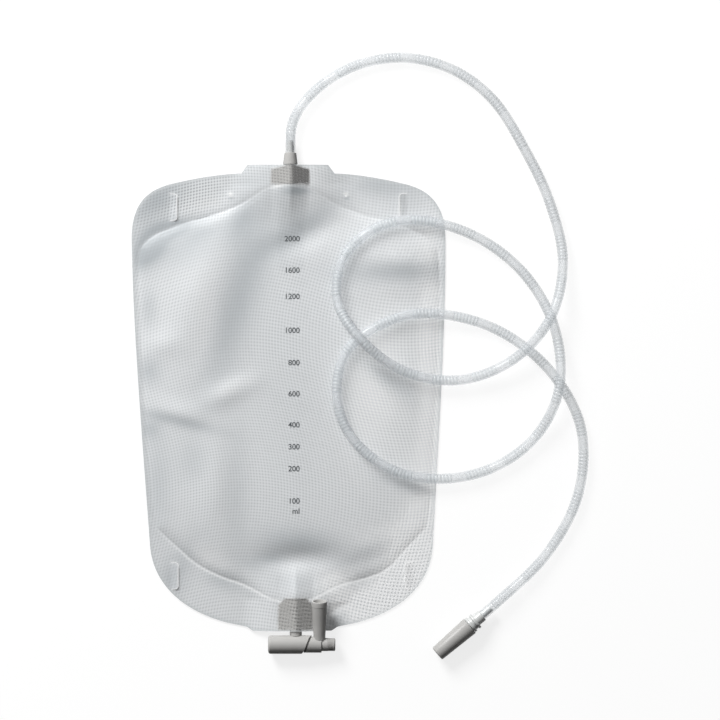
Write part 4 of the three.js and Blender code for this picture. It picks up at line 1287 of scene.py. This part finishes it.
def scaleMesh(s, material):
    work = bmesh.new()
    for words, y in s["marks"] + [s["unit"]]:
        text = bpy.data.curves.new("mark", "FONT")
        text.body = words
        text.size = s["digitHeight"] / s["digitShare"] * mm
        text.extrude = s["inkThickness"] * mm
        text.offset = s["weight"] * mm
        text.align_x = "RIGHT"
        holder = bpy.data.objects.new("mark", text)
        scene.collection.objects.link(holder)
        drawn = bpy.data.meshes.new_from_object(
            holder.evaluated_get(bpy.context.evaluated_depsgraph_get()))
        spots = np.zeros(len(drawn.vertices) * 3)
        drawn.vertices.foreach_get("co", spots)
        spots = spots.reshape(-1, 3) / mm
        spots[:, 0] += s["rightX"]
        spots[:, 1] += y - s["digitHeight"] / 2
        spots[:, 2] += frontTop(spots[:, 0], spots[:, 1]) + s["inkLift"]
        drawn.vertices.foreach_set("co", (spots * mm).ravel())
        work.from_mesh(drawn)
        bpy.data.objects.remove(holder)
    mesh = bpy.data.meshes.new("volume_scale")
    bmesh.ops.remove_doubles(work, verts=work.verts, dist=1e-7)
    work.to_mesh(mesh)
    work.free()
    mesh.materials.clear()
    mesh.materials.append(material)
    return mesh


# Solvent ink on an embossed film: flat and matt, worn thin in specks
inkFinish = mottledFinish("printed_ink", scale["inkTones"], scale["speck"], {"Roughness": 0.6},
                          detail=2.0)
addPiece("volume_scale", scaleMesh(scale, inkFinish), "bag")
print("volume scale made")

# Parts kept from the frame: the return valve's leaves and the tap's seal rings
keptParts = {
    "leafTones": ("#e6eaec", "#cdd3d6"),
    "leafRipple": 13.3,
    "leafOpacity": 0.2,
    "rubberTones": ("#2f3032", "#4a4b4e"),
    "rubberBloom": 3.33,
}

# Two plies of thin, clear PVC film that cling together: rippled, and hardly there
leafFinish = mottledFinish("thin_valve_film", keptParts["leafTones"], keptParts["leafRipple"],
                           {"Roughness": 0.25, "IOR": 1.53, "Alpha": keptParts["leafOpacity"]})
# Moulded nitrile rubber: nearly black and matt, with a faint bloom
rubberFinish = mottledFinish("nitrile_rubber", keptParts["rubberTones"],
                             keptParts["rubberBloom"], {"Roughness": 0.7, "IOR": 1.52})
for nodeName, finish in (("return_valve_back", leafFinish), ("return_valve_front", leafFinish),
                         ("seal_ring_1", rubberFinish), ("seal_ring_2", rubberFinish)):
    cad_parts[nodeName].material_slots[0].material = finish
print("kept parts dressed")

# Table, light and sky
studio = {
    "cameraGlow": 0.8,  # with the table's own shade, lit table comes out white
    "cameraTable": 0.22,
    "bounceTable": 0.14,
    "lamp": {"place": (-1163, 1822, 1465), "aim": (20, 0, 0), "size": 1000, "power": 101},
    "zenith": 0.2,
    "horizon": 0.02,
    "northGlow": 0.3,
    "least": 0.03,
    "tableReach": 6000,
    "tableDrop": 0.15,
}


def seenDirectly(tree):
    path = addNode(tree, "LightPath")
    seen = path.outputs["Is Camera Ray"]
    for other in ("Is Glossy Ray", "Is Transmission Ray"):
        seen = addNode(tree, "Math", {"operation": "MAXIMUM"}, {0: seen, 1: path.outputs[other]})
    return seen


def addTable(s):
    # Matt white board: white to the camera and in gloss, dimmer in the light it gives back
    material, tree = newMaterial("white_table")
    shown, bounce = [addNode(tree, "BsdfDiffuse", {"Color": [s[shade]] * 3 + [1]})
                     for shade in ("cameraTable", "bounceTable")]
    glow = addNode(tree, "Emission", {"Color": (1, 1, 1, 1), "Strength": s["cameraGlow"]})
    bright = addNode(tree, "AddShader", links={0: shown, 1: glow})
    shader = addNode(tree, "MixShader", links={0: seenDirectly(tree), 1: bounce, 2: bright})
    endMaterial(material, shader)
    r = s["tableReach"]
    mesh = meshFrom("table", [(-r, -r, 0), (r, -r, 0), (r, r, 0), (-r, r, 0)], [(0, 1, 2, 3)])
    mesh.materials.append(material)
    table = bpy.data.objects.new("table", mesh)
    table.location.z = -s["tableDrop"] * mm
    scene.collection.objects.link(table)


def addLamp(s):
    data = bpy.data.lights.new("lamp", "AREA")
    data.size = s["size"] * mm
    data.energy = s["power"]
    light = bpy.data.objects.new("lamp", data)
    light.location = Vector(s["place"]) * mm
    aim = Vector(s["aim"]) * mm - light.location
    light.rotation_euler = aim.to_track_quat("-Z", "Y").to_euler()
    scene.collection.objects.link(light)


def addSky(s):
    # Bright overhead and towards the bag's inlet end, dim near the other horizon
    world = bpy.data.worlds.new("sky")
    world.use_nodes = True
    tree = world.node_tree
    tree.nodes.clear()
    place = addNode(tree, "TexCoord")
    way = addNode(tree, "SeparateXYZ", links={0: place.outputs["Generated"]})
    high = addNode(tree, "Math", {"operation": "MULTIPLY_ADD", 1: s["zenith"] - s["horizon"],
                                  2: s["horizon"]}, {0: way.outputs[2]})
    north = addNode(tree, "Math", {"operation": "MULTIPLY_ADD", 1: s["northGlow"]},
                    {0: way.outputs[1], 2: high})
    lit = addNode(tree, "Math", {"operation": "MAXIMUM", 1: s["least"]}, {0: north})
    sky = addNode(tree, "Background", {"Color": (1, 1, 1, 1)}, {"Strength": lit})
    plain = addNode(tree, "Background", {"Color": (1, 1, 1, 1), "Strength": 1})
    camera = addNode(tree, "LightPath")
    shader = addNode(tree, "MixShader", links={0: camera.outputs["Is Camera Ray"],
                                               1: sky, 2: plain})
    addNode(tree, "OutputWorld", links={"Surface": shader})
    scene.world = world


addTable(studio)
addLamp(studio["lamp"])
addSky(studio)
scene.view_settings.view_transform = "Standard"
scene.cycles.transparent_max_bounces = 32
print("studio made")
